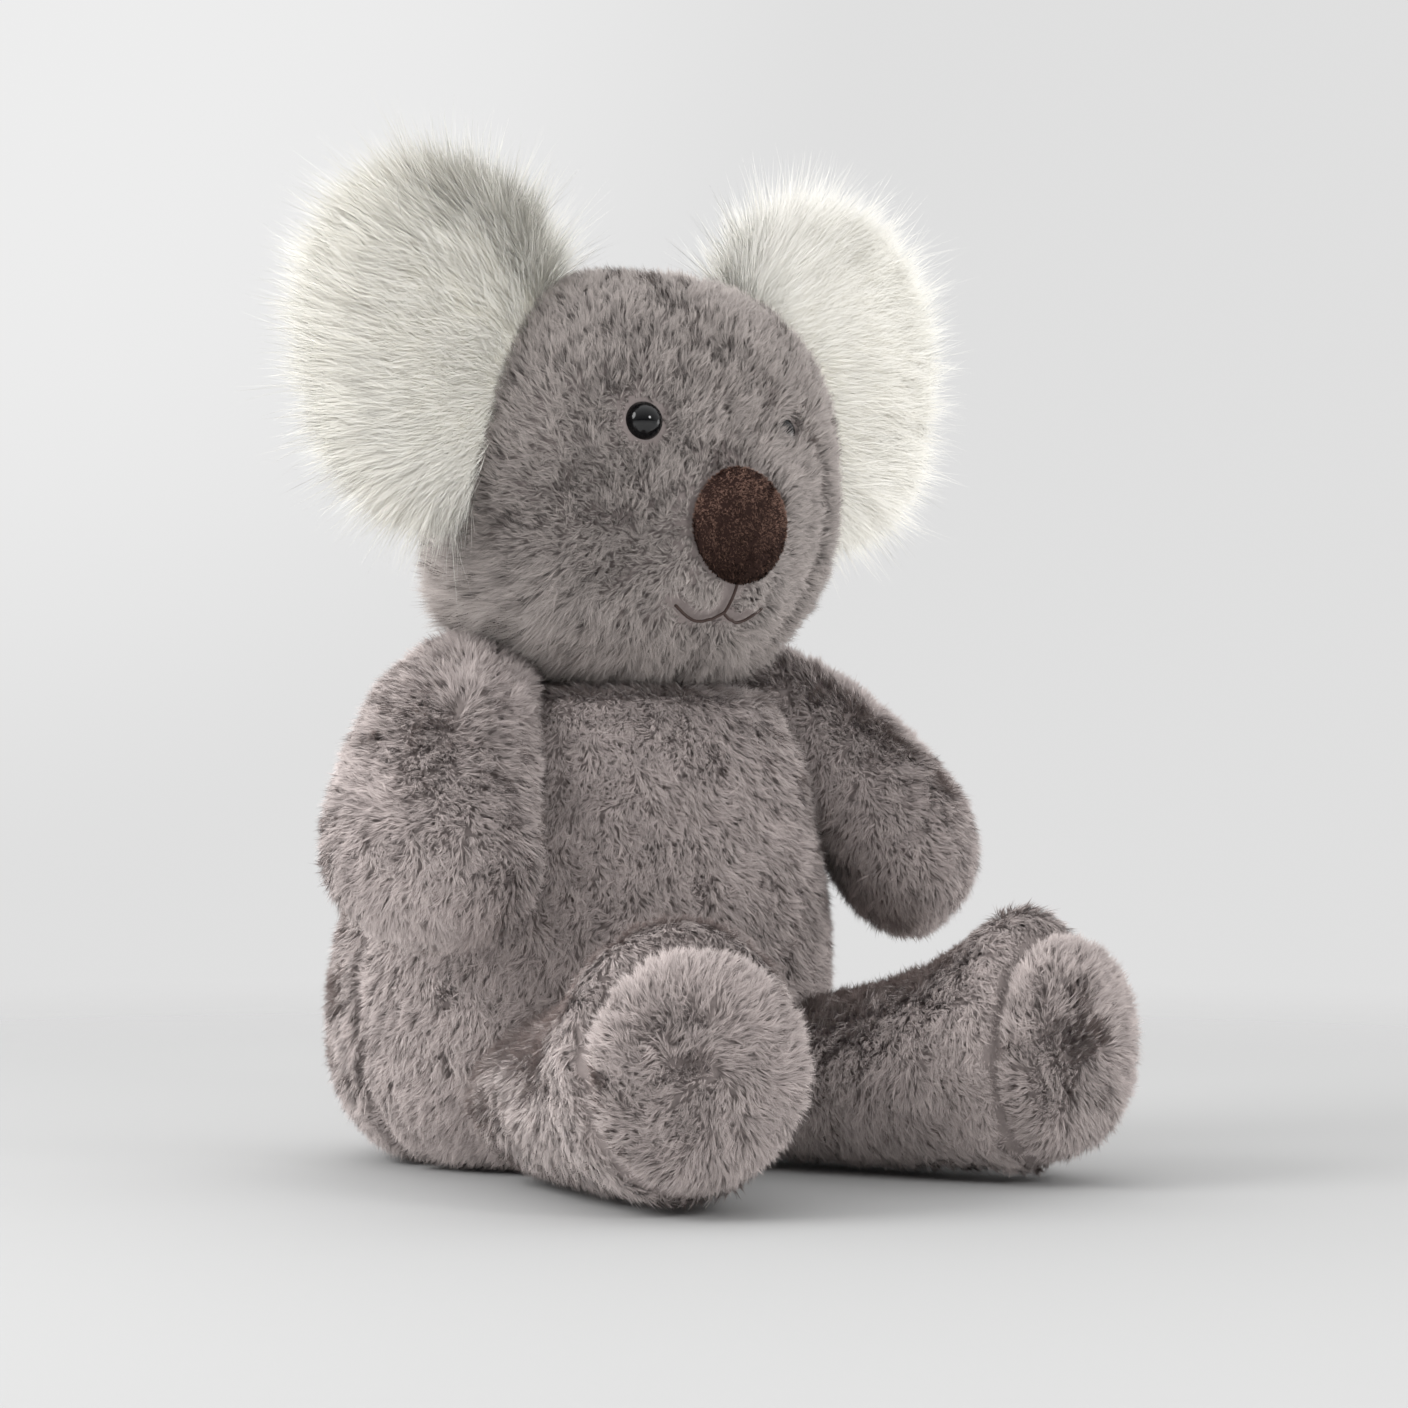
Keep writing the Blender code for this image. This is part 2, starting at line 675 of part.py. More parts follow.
def make_arm(name, side, looks, head_poses):
    """An arm skin with its gathered root in the armhole, and the stuffing inside it."""
    pivot = shoulder(side)
    axis = arm_axis(side)
    lift = lift_axis(side)
    angles = steps_between(ARM_LIFT / 3, ARM_LIFT, 3)
    wall = SWEEP_GAP + SKIN / 2
    body = body_sweep(f"{name}_arm_clears_body", SWEEP_GAP, pivot, lift, angles)
    body_inside = body_sweep(f"{name}_arm_wall", wall, pivot, lift, angles)
    fill_body = body_sweep(f"{name}_arm_fill_wall", wall + GAP, pivot, lift, angles)
    head = head_sweep(f"{name}_arm_passes_head", ARM_HEAD_GAP, pivot, lift, angles)
    head_inside = head_sweep(f"{name}_arm_wall_under_head", wall, pivot, lift, angles)
    fill_head = head_sweep(f"{name}_arm_fill_under_head", wall + GAP, pivot, lift, angles)
    root = ball(f"{name}_arm_root", pivot, SHOULDER_BALL, lift)
    hollow = mesh_object(f"{name}_arm_hollow", arm_form(side, -SKIN, LIMB_SEGMENTS), True)
    cut(hollow, *body_inside, *head_inside, solver="MANIFOLD")
    hole = rod(f"{name}_arm_hole", pivot, axis, ARM_HOLE, -SHOULDER_BALL * 2, SHOULDER_BALL * 2)
    skin = mesh_object(f"{name}_arm", arm_form(side, 0, LIMB_SEGMENTS))
    cut(skin, *body, solver="MANIFOLD")
    join(skin, root, solver="MANIFOLD")
    cut(skin, *head_poses, *head[1:], hollow, hole, solver="MANIFOLD")
    finish(skin, looks["grey_plush"])
    fill = mesh_object(f"{name}_arm_stuffing", arm_form(side, -SKIN - GAP, LIMB_SEGMENTS))
    cut(fill, *fill_body, *fill_head, solver="MANIFOLD")
    finish(fill, looks["fibre"])


def head_sweep(name, grow, pivot, axis, angles):
    """The head's form, larger by grow, as an arm meets it in lifting, with the head level, and bowed and turned."""
    neck = neck_centre()
    form = mesh_object(name, head_form(grow, BODY_SEGMENTS, BODY_SEGMENTS // 2), True)
    made = [form] + [turned(form, pivot, axis, -degrees, f"{name}_{degrees:.0f}") for degrees in angles]
    nodded = turned(form, neck, Vector((1, 0, 0)), HEAD_NOD_DOWN, f"{name}_nod")
    for turn in (-HEAD_TURN, 0, HEAD_TURN):
        posed = turned(nodded, neck, UP, turn, f"{name}_turn_{turn:.0f}")
        made.append(turned(posed, pivot, axis, -angles[-1], f"{name}_lifted_{turn:.0f}"))
    return made


def body_sweep(name, grow, pivot, axis, angles):
    """The body's form, larger by grow, as a limb that turns by these angles meets it."""
    form = mesh_object(name, body_form(grow, BODY_SEGMENTS), True)
    return [form] + [turned(form, pivot, axis, -degrees, f"{name}_{degrees:.0f}") for degrees in angles]


def make_leg(name, side, looks, spaces):
    """A leg skin whose foot end is closed by a separate round sole, and the stuffing inside both."""
    pivot = hip(side)
    axis = leg_axis(side)
    lift = raise_axis(side)
    angles = steps_between(LEG_RAISE / 3, LEG_RAISE, 3)
    swept = body_sweep(f"{name}_leg_clears_body", SWEEP_GAP, pivot, lift, angles)
    wall = body_sweep(f"{name}_leg_wall", SWEEP_GAP + SKIN / 2, pivot, lift, angles)
    fill_wall = body_sweep(f"{name}_leg_fill_wall", SWEEP_GAP + SKIN / 2 + GAP, pivot, lift, angles)
    root = ball(f"{name}_leg_root", pivot, HIP_BALL, lift)
    hollow = mesh_object(f"{name}_leg_hollow", leg_form(side, -SKIN, LIMB_SEGMENTS), True)
    cut(hollow, *wall, solver="MANIFOLD")
    seam = LEG_LENGTH - SOLE_DOME
    far = LEG_LENGTH * 2
    before = rod(f"{name}_before_sole", pivot, axis, far, -far, seam + GAP / 2)
    beyond = rod(f"{name}_beyond_sole", pivot, axis, far, seam - GAP / 2, far)
    skin = mesh_object(f"{name}_leg", leg_form(side, 0, LIMB_SEGMENTS))
    cut(skin, *swept, solver="MANIFOLD")
    join(skin, root, solver="MANIFOLD")
    cut(skin, hollow, beyond, spaces["ground"], solver="MANIFOLD")
    finish(skin, looks["grey_plush"])
    sole = mesh_object(f"{name}_sole", leg_form(side, 0, LIMB_SEGMENTS))
    finish(cut(sole, hollow, before, solver="MANIFOLD"), looks["grey_plush"])
    fill = mesh_object(f"{name}_leg_stuffing", leg_form(side, -SKIN - GAP, LIMB_SEGMENTS))
    finish(cut(fill, *fill_wall, solver="MANIFOLD"), looks["fibre"])


def make_ear(name, side, looks, spaces):
    """A grey back and a white long-haired front, sewn together along the rim and into the head's seam."""
    pivot = ear_root(side)
    axis = ear_axis(side)
    clearance = mesh_object(f"{name}_ear_clears_head", head_form(SWEEP_GAP, BODY_SEGMENTS, BODY_SEGMENTS // 2), True)
    swept = [clearance]
    for degrees in (-EAR_FLEX, EAR_FLEX):
        swept.append(turned(clearance, pivot, axis, degrees, f"{name}_ear_clears_head_{degrees:.0f}"))
    root = ear_rod(f"{name}_ear_root", side, 0)
    for part, beyond, look in (
        ("front", "behind_head_seam", "white_pile"),
        ("back", "before_head_seam", "grey_plush"),
    ):
        ear = mesh_object(f"{name}_ear_{part}", ear_form(side, 0, LIMB_SEGMENTS + 4, SMALL_RINGS))
        cut(ear, *swept)
        join(ear, root)
        cut(ear, spaces[beyond])
        finish(ear, looks[look])


def main():
    clear_scene()
    looks = materials()
    spaces = half_spaces()
    pockets = head_pockets()
    eye_cuts = make_eyes(looks)
    nose_pocket = make_nose(looks)
    make_mouth(looks)
    make_head(looks, spaces, eye_cuts, nose_pocket, pockets)
    head_poses = neck_poses()
    make_body(looks, spaces, head_poses, pockets[0])
    make_neck(looks)
    for name, side in SIDES:
        make_arm(name, side, looks, head_poses)
        make_leg(name, side, looks, spaces)
        make_ear(name, side, looks, spaces)


main()
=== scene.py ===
"""The plush koala, dressed: sewn skins under pile, long-haired ears, black eyes and a velvet nose."""

import math

import bpy
import numpy as np
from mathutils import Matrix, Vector
from mathutils.bvhtree import BVHTree


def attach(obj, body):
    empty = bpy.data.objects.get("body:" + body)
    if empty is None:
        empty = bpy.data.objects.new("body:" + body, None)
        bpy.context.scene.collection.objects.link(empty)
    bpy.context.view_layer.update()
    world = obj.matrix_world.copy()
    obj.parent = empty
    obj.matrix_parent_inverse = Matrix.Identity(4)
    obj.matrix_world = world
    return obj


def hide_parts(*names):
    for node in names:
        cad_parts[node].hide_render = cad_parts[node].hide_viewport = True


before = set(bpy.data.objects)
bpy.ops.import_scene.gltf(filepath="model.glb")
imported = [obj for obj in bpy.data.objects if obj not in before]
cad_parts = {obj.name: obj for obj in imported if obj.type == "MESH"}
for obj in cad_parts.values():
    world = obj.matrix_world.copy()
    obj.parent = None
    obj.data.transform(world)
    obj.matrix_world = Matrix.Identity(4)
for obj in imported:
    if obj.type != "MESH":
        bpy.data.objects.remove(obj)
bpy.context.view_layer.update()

# Lengths in metres, angles in degrees
PILE = 0.005
BODY_PILE = 0.003
ARM_PILE = 0.003
LEG_PILE = 0.004
BODY_HEIGHT = 0.157
BODY_WIDTH = 0.162
BODY_DEPTH = 0.154
BODY_LEAN = 0.026
HEAD_SIZE = (0.140, 0.050, 0.055, 0.132)
HEAD_CENTRE = (0, -0.032, 0.2143)
EAR_CENTRE = (0.0755, -0.032, 0.2515)
EAR_CORE = (0.037, 0.017, 0.013, 0.0450)
EAR_CORE_SHIFT = 0.004
SHOULDER = (0.050, -0.028, 0.1455)
ARM_LENGTH = 0.095
ARM_WIDTH = 0.066
ARM_THICKNESS = 0.050
ARM_SPREAD = 56.0
ARM_DROOP = 47.0
ARM_BOW = 0.006
HIP = (0.043, -0.060, 0)
LEG_LENGTH = 0.114
LEG_SPLAY = 15.5
LEG_HEIGHT = 0.050
LEG_WIDTH = 0.062
FOOT_HEIGHT = 0.081
FOOT_WIDTH = 0.075
SOLE_DIAMETER = 0.066
SOLE_DOME = 0.012
EYE_PLACE = (0.0272, 0.2275)
EYE_DIAMETER = 0.012
EYE_SINK = {"right": 0.0008, "left": 0.0034}
NOSE_SIZE = (0.0348, 0.0095, 0.0368)
NOSE_Z = 0.1966
NOSE_STAND = 0.0025
NOSE_TRIM = 0.0008
EYE_BASE_RADIUS = 0.0055
EYE_DOME = 0.0062
EYE_BACK = 0.003
EYE_RINGS = 12
NECK_CENTRE = (0, -0.028, 0.151)
NECK_RADIUS = 0.020
NECK_TRIM = 0.001
THREAD_RADIUS = 0.00048
THREAD_LIFT = 0.0020

# Rows of shares, from the base or root of a form to its far end
BODY_SHARES = (
    (0.00, 0.62, 0.60, 0.00),
    (0.03, 0.79, 0.77, 0.00),
    (0.14, 0.95, 0.94, 0.03),
    (0.32, 1.00, 1.00, 0.14),
    (0.50, 0.97, 0.95, 0.32),
    (0.68, 0.86, 0.83, 0.58),
    (0.83, 0.76, 0.71, 0.82),
    (0.94, 0.60, 0.52, 0.96),
)
ARM_SHARES = (
    (-0.20, 0.00, 0.00, 0.08),
    (-0.17, 0.40, 0.42, 0.09),
    (-0.06, 0.63, 0.73, 0.11),
    (0.12, 0.78, 0.91, 0.11),
    (0.34, 0.87, 0.95, 0.08),
    (0.58, 0.96, 0.99, 0.03),
    (0.76, 1.00, 1.00, 0.00),
    (0.90, 0.84, 0.80, 0.00),
    (0.98, 0.48, 0.44, 0.00),
    (1.00, 0.00, 0.00, 0.00),
)
LEG_SHARES = (
    (-0.22, -1.00, -1.00),
    (-0.16, -0.36, -0.30),
    (0.00, 0.05, 0.40),
    (0.26, 0.25, 0.55),
    (0.48, 0.50, 0.66),
    (0.64, 0.84, 0.88),
    (0.74, 1.09, 1.10),
    (0.84, 0.98, 0.98),
)
SOLE_SHARES = ((0.35, 0.92), (0.72, 0.66), (0.93, 0.32), (1.00, 0.00))
HEAD_ROUNDNESS = 2.5
EAR_ROUNDNESS = 2.2
NECK_ROUNDNESS = 2.0
NOSE_ROUNDNESS = 1.94
ROW_STEPS = 5
SOLE_STEPS = 4
BODY_SEGMENTS = 96
LIMB_SEGMENTS = 64
ARM_END_SHARE = 0.02
SOLE_END_SHARE = 0.01
LEG_END = 0.004

UP = np.array([0.0, 0.0, 1.0])
FORWARD = np.array([0.0, -1.0, 0.0])
ACROSS = np.array([1.0, 0.0, 0.0])
SIDES = (("right", -1), ("left", 1))
SEED = 11
NEARBY = 0.012

# Where the ears' longest hair ends, and how ragged that edge is
EAR_REACH = 0.1372
EAR_TOP = 0.3285
EDGE_RAGGED = 0.006

# Strands
ROOT_HEIGHT = 0.02
STRAND_TAPER = 0.35
PIECE_FACES = 190000
UNDERSIDE = 0.0065

# Seams
SEAM_WIDTH = 0.0022
SEAM_DEPTH = 0.0052
FACE_SEAM_WIDTH = 0.002
FACE_SEAM_DEPTH = 0.0015
BODY_SEAM_DRAW = 0.056

# An ear's long hair grows where its surface turns back less than this
EAR_TURN = 0.75
EAR_INWARD_SHARE = 0.6
EAR_SPLIT = 0.0055


def unit(rows):
    length = np.linalg.norm(rows, axis=-1, keepdims=True)
    return rows / np.maximum(length, 1e-12)


def smooth_rows(rows, steps):
    """Rows of numbers with a smooth curve through them, in this many steps between each pair."""
    rows = np.asarray(rows, float)
    made = []
    for i in range(len(rows) - 1):
        before = rows[max(i - 1, 0)]
        start = rows[i]
        end = rows[i + 1]
        after = rows[min(i + 2, len(rows) - 1)]
        for step in range(steps):
            t = step / steps
            bend = (2 * before - 5 * start + 4 * end - after) * t**2
            bend = bend + (3 * start - before - 3 * end + after) * t**3
            made.append(start + ((end - before) * t + bend) / 2)
    made.append(rows[-1])
    return np.array(made)


def signed_power(value, exponent):
    return np.sign(value) * np.abs(value) ** exponent


def ring(centre, across, up, half_width, half_up, half_down, segments, roundness=2.0):
    angle = 2 * np.pi * np.arange(segments) / segments
    cosine = signed_power(np.cos(angle), 2 / roundness)
    sine = signed_power(np.sin(angle), 2 / roundness)
    reach = np.where(sine > 0, half_up, half_down)
    return centre + np.outer(cosine * half_width, across) + np.outer(sine * reach, up)


def loft(rings):
    """Points and faces of a closed form through equal rings, with a pole at each end."""
    count = len(rings[1])
    points = [rings[0], *rings[1:-1], rings[-1]]
    starts = np.cumsum([0] + [len(np.atleast_2d(row)) for row in points])
    faces = []
    around = np.arange(count)
    after = (around + 1) % count
    for i in range(1, len(rings) - 2):
        low = starts[i]
        high = starts[i + 1]
        faces.append(np.stack([low + around, low + after, high + after, high + around], 1))
    quads = np.concatenate(faces)
    first = np.stack([np.zeros(count, int), starts[1] + after, starts[1] + around], 1)
    last_ring = starts[len(rings) - 2]
    last = np.stack([np.full(count, starts[-2]), last_ring + around, last_ring + after], 1)
    triangles = np.concatenate([first, quads[:, [0, 1, 2]], quads[:, [0, 2, 3]], last])
    return np.concatenate([np.atleast_2d(row) for row in points]), triangles


def body_form(grow):
    rings = []
    for place, width, depth, drift in smooth_rows(BODY_SHARES, ROW_STEPS):
        height = -grow + place * (BODY_HEIGHT + 2 * grow)
        centre = np.array([0, -BODY_LEAN * drift, height])
        half_width = width * (BODY_WIDTH / 2 + grow)
        half_depth = depth * (BODY_DEPTH / 2 + grow)
        rings.append(ring(centre, ACROSS, FORWARD, half_width, half_depth, half_depth, BODY_SEGMENTS))
    bottom = rings[0].mean(0)
    top = rings[-1].mean(0) + UP * (BODY_HEIGHT * (1 - BODY_SHARES[-1][0]))
    return loft([bottom, *rings, top])


def round_form(centre, half, grow, roundness, segments, levels):
    centre = np.array(centre, float)
    width, front, back, height = [value + grow for value in half]
    rings = [centre - UP * height]
    for i in range(1, levels):
        angle = math.pi * (i / levels - 0.5)
        rise = height * signed_power(math.sin(angle), 2 / roundness)
        share = math.cos(angle) ** (2 / roundness)
        sizes = (width * share, front * share, back * share)
        rings.append(ring(centre + UP * rise, ACROSS, FORWARD, *sizes, segments, roundness))
    rings.append(centre + UP * height)
    return loft(rings)


def arm_frame(side):
    spread = math.radians(ARM_SPREAD)
    droop = math.radians(ARM_DROOP)
    level = np.array([side * math.sin(spread), -math.cos(spread), 0])
    axis = unit(level * math.cos(droop) - UP * math.sin(droop))
    facing = unit(np.array([side, -1.0, 0.0]))
    across = unit(np.cross(axis, facing))
    facing = unit(np.cross(across, axis))
    bow = unit(np.cross(np.cross(axis, UP), axis))
    return axis, across, facing, bow


def arm_form(side, grow):
    axis, across, facing, bow = arm_frame(side)
    root = np.array([side * SHOULDER[0], SHOULDER[1], SHOULDER[2]])
    rings = []
    start = ARM_SHARES[0][0]
    for place, width, thick, drift in smooth_rows(ARM_SHARES, ROW_STEPS):
        share = (place - start) / (1 - start)
        centre = root + axis * (ARM_LENGTH * place + grow * (2 * share - 1))
        centre = centre + bow * (ARM_BOW * math.sin(math.pi * max(place, 0)))
        centre = centre - across * (side * ARM_WIDTH * drift)
        if width < ARM_END_SHARE:
            rings.append(centre)
            continue
        half_width = width * (ARM_WIDTH / 2 + grow)
        half_thick = thick * (ARM_THICKNESS / 2 + grow)
        rings.append(ring(centre, across, facing, half_width, half_thick, half_thick, LIMB_SEGMENTS))
    return loft(rings)


def leg_axis(side):
    splay = math.radians(LEG_SPLAY)
    return np.array([side * math.sin(splay), -math.cos(splay), 0])


def leg_form(side, grow):
    axis = leg_axis(side)
    across = np.cross(axis, UP)
    base = np.array([side * HIP[0], HIP[1], 0])
    rings = []
    root = LEG_SHARES[0][0]
    shin = LEG_HEIGHT / 2
    rise = FOOT_HEIGHT / 2 - shin
    widening = (FOOT_WIDTH - LEG_WIDTH) / 2
    for place, high, wide in smooth_rows(LEG_SHARES, ROW_STEPS):
        share = (place - root) / (1 - root)
        along = axis * (LEG_LENGTH * place + grow * (2 * share - 1))
        half_height = shin + (rise if high > 0 else shin) * high
        half_width = LEG_WIDTH / 2 + (widening if wide > 0 else LEG_WIDTH / 2) * wide
        centre = base + along + UP * max(half_height, shin)
        if half_width + grow < LEG_END:
            if not rings:
                rings.append(centre)
            continue
        half_height += grow
        rings.append(ring(centre, across, UP, half_width + grow, half_height, half_height, LIMB_SEGMENTS))
    ring_at = LEG_LENGTH - SOLE_DOME
    half = SOLE_DIAMETER / 2 + grow
    for along_share, half_share in smooth_rows([(0.0, 1.0), *SOLE_SHARES], SOLE_STEPS):
        reach = ring_at + grow / 2 + (SOLE_DOME + grow / 2) * along_share
        centre = base + axis * reach + UP * (FOOT_HEIGHT / 2)
        if half_share < SOLE_END_SHARE:
            rings.append(centre)
        else:
            size = half * half_share
            rings.append(ring(centre, across, UP, size, size, size, LIMB_SEGMENTS))
    return loft(rings)


def new_mesh(name, points, triangles, look):
    mesh = bpy.data.meshes.new(name)
    mesh.vertices.add(len(points))
    mesh.vertices.foreach_set("co", np.ascontiguousarray(points, np.float32).ravel())
    mesh.loops.add(len(triangles) * 3)
    mesh.loops.foreach_set("vertex_index", np.ascontiguousarray(triangles, np.int32).ravel())
    mesh.polygons.add(len(triangles))
    mesh.polygons.foreach_set("loop_start", np.arange(0, len(triangles) * 3, 3, dtype=np.int32))
    mesh.update()
    mesh.shade_smooth()
    mesh.materials.append(look)
    made = bpy.data.objects.new(name, mesh)
    bpy.context.scene.collection.objects.link(made)
    return made


def vertex_normals(points, triangles):
    corners = points[triangles]
    faces = np.cross(corners[:, 1] - corners[:, 0], corners[:, 2] - corners[:, 0])
    normals = np.zeros_like(points)
    for k in range(3):
        np.add.at(normals, triangles[:, k], faces)
    return unit(normals)


def outward(points, triangles):
    """The triangles, turned so that the form's faces look out."""
    corners = points[triangles]
    volume = np.einsum("ij,ij->i", corners[:, 0], np.cross(corners[:, 1], corners[:, 2])).sum()
    return triangles if volume > 0 else triangles[:, ::-1]


class Skin:
    """A form that pile grows on."""

    def __init__(self, points, triangles):
        self.points = points
        self.triangles = outward(points, triangles)
        self.normals = vertex_normals(points, self.triangles)
        self.tree = None

    def scatter(self, rng, per_m2):
        corners = self.points[self.triangles]
        across = np.cross(corners[:, 1] - corners[:, 0], corners[:, 2] - corners[:, 0])
        sizes = np.linalg.norm(across, axis=1) / 2
        count = int(sizes.sum() * per_m2)
        chosen = np.searchsorted(np.cumsum(sizes) / sizes.sum(), rng.random(count))
        chosen = np.minimum(chosen, len(sizes) - 1)
        a = np.sqrt(rng.random(count))
        b = rng.random(count)
        weights = np.stack([1 - a, a * (1 - b), a * b], 1)[:, :, None]
        place = (corners[chosen] * weights).sum(1)
        normal = unit((self.normals[self.triangles[chosen]] * weights).sum(1))
        return place, normal

    def search_tree(self):
        if self.tree is None:
            self.tree = BVHTree.FromPolygons(self.points.tolist(), self.triangles.tolist())
        return self.tree

    def distance(self, places):
        """How far outside this form each place is, less than nothing inside it, and at most NEARBY."""
        tree = self.search_tree()
        found = np.full(len(places), NEARBY)
        low = self.points.min(0) - NEARBY
        high = self.points.max(0) + NEARBY
        near = np.nonzero(((places > low) & (places < high)).all(1))[0]
        for i in near:
            point = Vector(places[i])
            hit, normal, _, _ = tree.find_nearest(point)
            away = (point - hit).length
            found[i] = min(away if (point - hit).dot(normal) > 0 else -away, NEARBY)
        return found

    def inside(self, places, margin=0.0):
        """Which places lie inside this form, or within margin outside it."""
        return self.distance(places) < margin


class Noise:
    """Smooth seeded noise, as a sum of waves."""

    def __init__(self, rng, wavelength, waves=10):
        direction = unit(rng.normal(size=(waves, 3)))
        self.pace = direction * (2 * np.pi / wavelength * rng.uniform(0.6, 1.5, (waves, 1)))
        self.phase = rng.uniform(0, 2 * np.pi, waves)
        self.scale = math.sqrt(2 / waves)

    def __call__(self, places):
        return np.sin(places @ self.pace.T + self.phase).sum(1) * self.scale


def tangent(direction, normal):
    flat = direction - normal * (direction * normal).sum(1, keepdims=True)
    return unit(flat)


def turn_about(vectors, axes, angles):
    cosine = np.cos(angles)[:, None]
    sine = np.sin(angles)[:, None]
    along = axes * (axes * vectors).sum(1, keepdims=True)
    return vectors * cosine + np.cross(axes, vectors) * sine + along * (1 - cosine)


def strand_paths(place, normal, flow, rng, options):
    """The line of each tuft and of the strands gathered in it, from root to tip."""
    count = len(place)
    lie = tangent(flow(place, normal), normal)
    turn = options["swirl"](place) * options["swirl_amount"] + rng.normal(0, options["stray"], count)
    lie = turn_about(lie, normal, turn)
    tilt = options["tilt"] + options["lift"](place) * options["lift_amount"] + rng.normal(0, 0.1, count)
    tilt = np.clip(tilt, 0.15, 1.5)
    length = options["length"] * rng.uniform(0.8, 1.15, count)
    if "reach" in options:
        length = length * options["reach"](place)
    steps = options["steps"]
    bend = options["bend"]
    line = [place - normal * options["sink"]]
    for step in range(steps):
        share = (step + 0.5) / steps
        angle = np.minimum(tilt * (1 - bend + 2 * bend * share), 1.7)
        way = normal * np.cos(angle)[:, None] + lie * np.sin(angle)[:, None]
        way[:, 2] -= options["droop"] * share
        line.append(line[-1] + unit(way) * (length / steps)[:, None])
    index = np.repeat(np.arange(count), options["strands"])
    total = len(index)
    side = tangent(rng.normal(size=(total, 3)), normal[index])
    offset = side * (options["radius"] * np.sqrt(rng.random(total)))[:, None]
    stretch = options["stretch"](rng, total)[:, None]
    wander = rng.normal(0, options["loose"], (total, 3)) * length[index][:, None]
    path = []
    for step, point in enumerate(line):
        share = step / steps
        root = line[0][index]
        along = (point[index] - root) * stretch
        path.append(root + along + offset * (1 - options["gather"] * share) + wander * share**1.5)
    path = np.stack(path, 1)
    root_x = np.abs(path[:, 0, 0])
    out = np.maximum(np.abs(path[:, -1, 0]) - root_x, 1e-6)
    rise = np.maximum(path[:, -1, 2] - path[:, 0, 2], 1e-6)
    spare = rng.uniform(0, EDGE_RAGGED, total)
    room = np.minimum((EAR_REACH - root_x - spare) / out, (EAR_TOP - path[:, 0, 2] - spare) / rise)
    path = path[:, :1] + (path - path[:, :1]) * np.clip(room, 0.1, 1)[:, None, None]
    path[:, :, 2] = np.maximum(path[:, :, 2], options["floor"])
    return path, index


def grow_pile(name, skin, body, look, flow, rng, options, keep=None):
    """Strands in tufts all over a skin. Each strand is a flat sliver, pointed at both ends."""
    place, normal = skin.scatter(rng, options["tufts"])
    if keep is not None:
        kept = keep(place, normal)
        place = place[kept]
        normal = normal[kept]
    path, index = strand_paths(place, normal, flow, rng, options)
    total = len(index)
    steps = options["steps"]
    along = unit(path[:, -1] - path[:, 0])
    flat = tangent(normal[index] + UP * options["rise"], along)
    width_way = turn_about(np.cross(along, flat), along, rng.uniform(-0.6, 0.6, total))
    half = options["width"] * rng.uniform(0.7, 1.3, total)[:, None] / 2
    corners = [path[:, 0]]
    heights = [ROOT_HEIGHT]
    for step in range(1, steps):
        taper = 1 - STRAND_TAPER * (step - 1) / steps
        corners += [path[:, step] - width_way * half * taper, path[:, step] + width_way * half * taper]
        heights += [step / steps, step / steps]
    corners.append(path[:, -1])
    heights.append(1 - ROOT_HEIGHT)
    points = np.stack(corners, 1)
    facing = np.cross(width_way, along)
    soft = options["soft"]
    shade = normal[index] * soft + flat * options["turn"] + options["lean"](place)[index]
    shade = unit(shade + rng.normal(0, options["rough"], (total, 3)))
    mirror = [0]
    for step in range(1, steps):
        mirror += [2 * step, 2 * step - 1]
    mirror.append(2 * steps - 1)
    turned = (facing * shade).sum(1) < 0
    points[turned] = points[turned][:, mirror]
    pattern = [[0, 2, 1]]
    for step in range(1, steps - 1):
        low = 2 * step - 1
        pattern += [[low, low + 1, low + 2], [low + 1, low + 3, low + 2]]
    pattern.append([2 * steps - 3, 2 * steps - 2, 2 * steps - 1])
    size = 2 * steps
    tone = options["tone"](place) * options["patches"] + rng.normal(0, options["tufted"], len(place))
    tone = tone[index] + rng.normal(0, options["tones"], total)
    tone = np.clip(0.5 + tone, 0.01, 0.99)
    most = PIECE_FACES // len(pattern)
    for number, start in enumerate(range(0, total, most), 1):
        end = min(start + most, total)
        base = size * np.arange(end - start)[:, None, None]
        faces = (base + np.array(pattern)[None]).reshape(-1, 3)
        piece = new_mesh(f"{name}_{number}", points[start:end].reshape(-1, 3), faces, look)
        normals = piece.data.attributes.new("custom_normal", "FLOAT_VECTOR", "POINT")
        shades = np.repeat(shade[start:end], size, axis=0)
        normals.data.foreach_set("vector", shades.astype(np.float32).ravel())
        uv = np.stack([np.repeat(tone[start:end], size), np.tile(heights, end - start)], 1)
        layer = piece.data.uv_layers.new(name="OFBake")
        layer.uv.foreach_set("vector", uv[faces.ravel()].astype(np.float32).ravel())
        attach(piece, body)
    print(name, "tufts", len(place), "strands", total)


def node_material(name):
    made = bpy.data.materials.new(name)
    made.use_nodes = True
    return made, made.node_tree.nodes, made.node_tree.links, made.node_tree.nodes["Principled BSDF"]


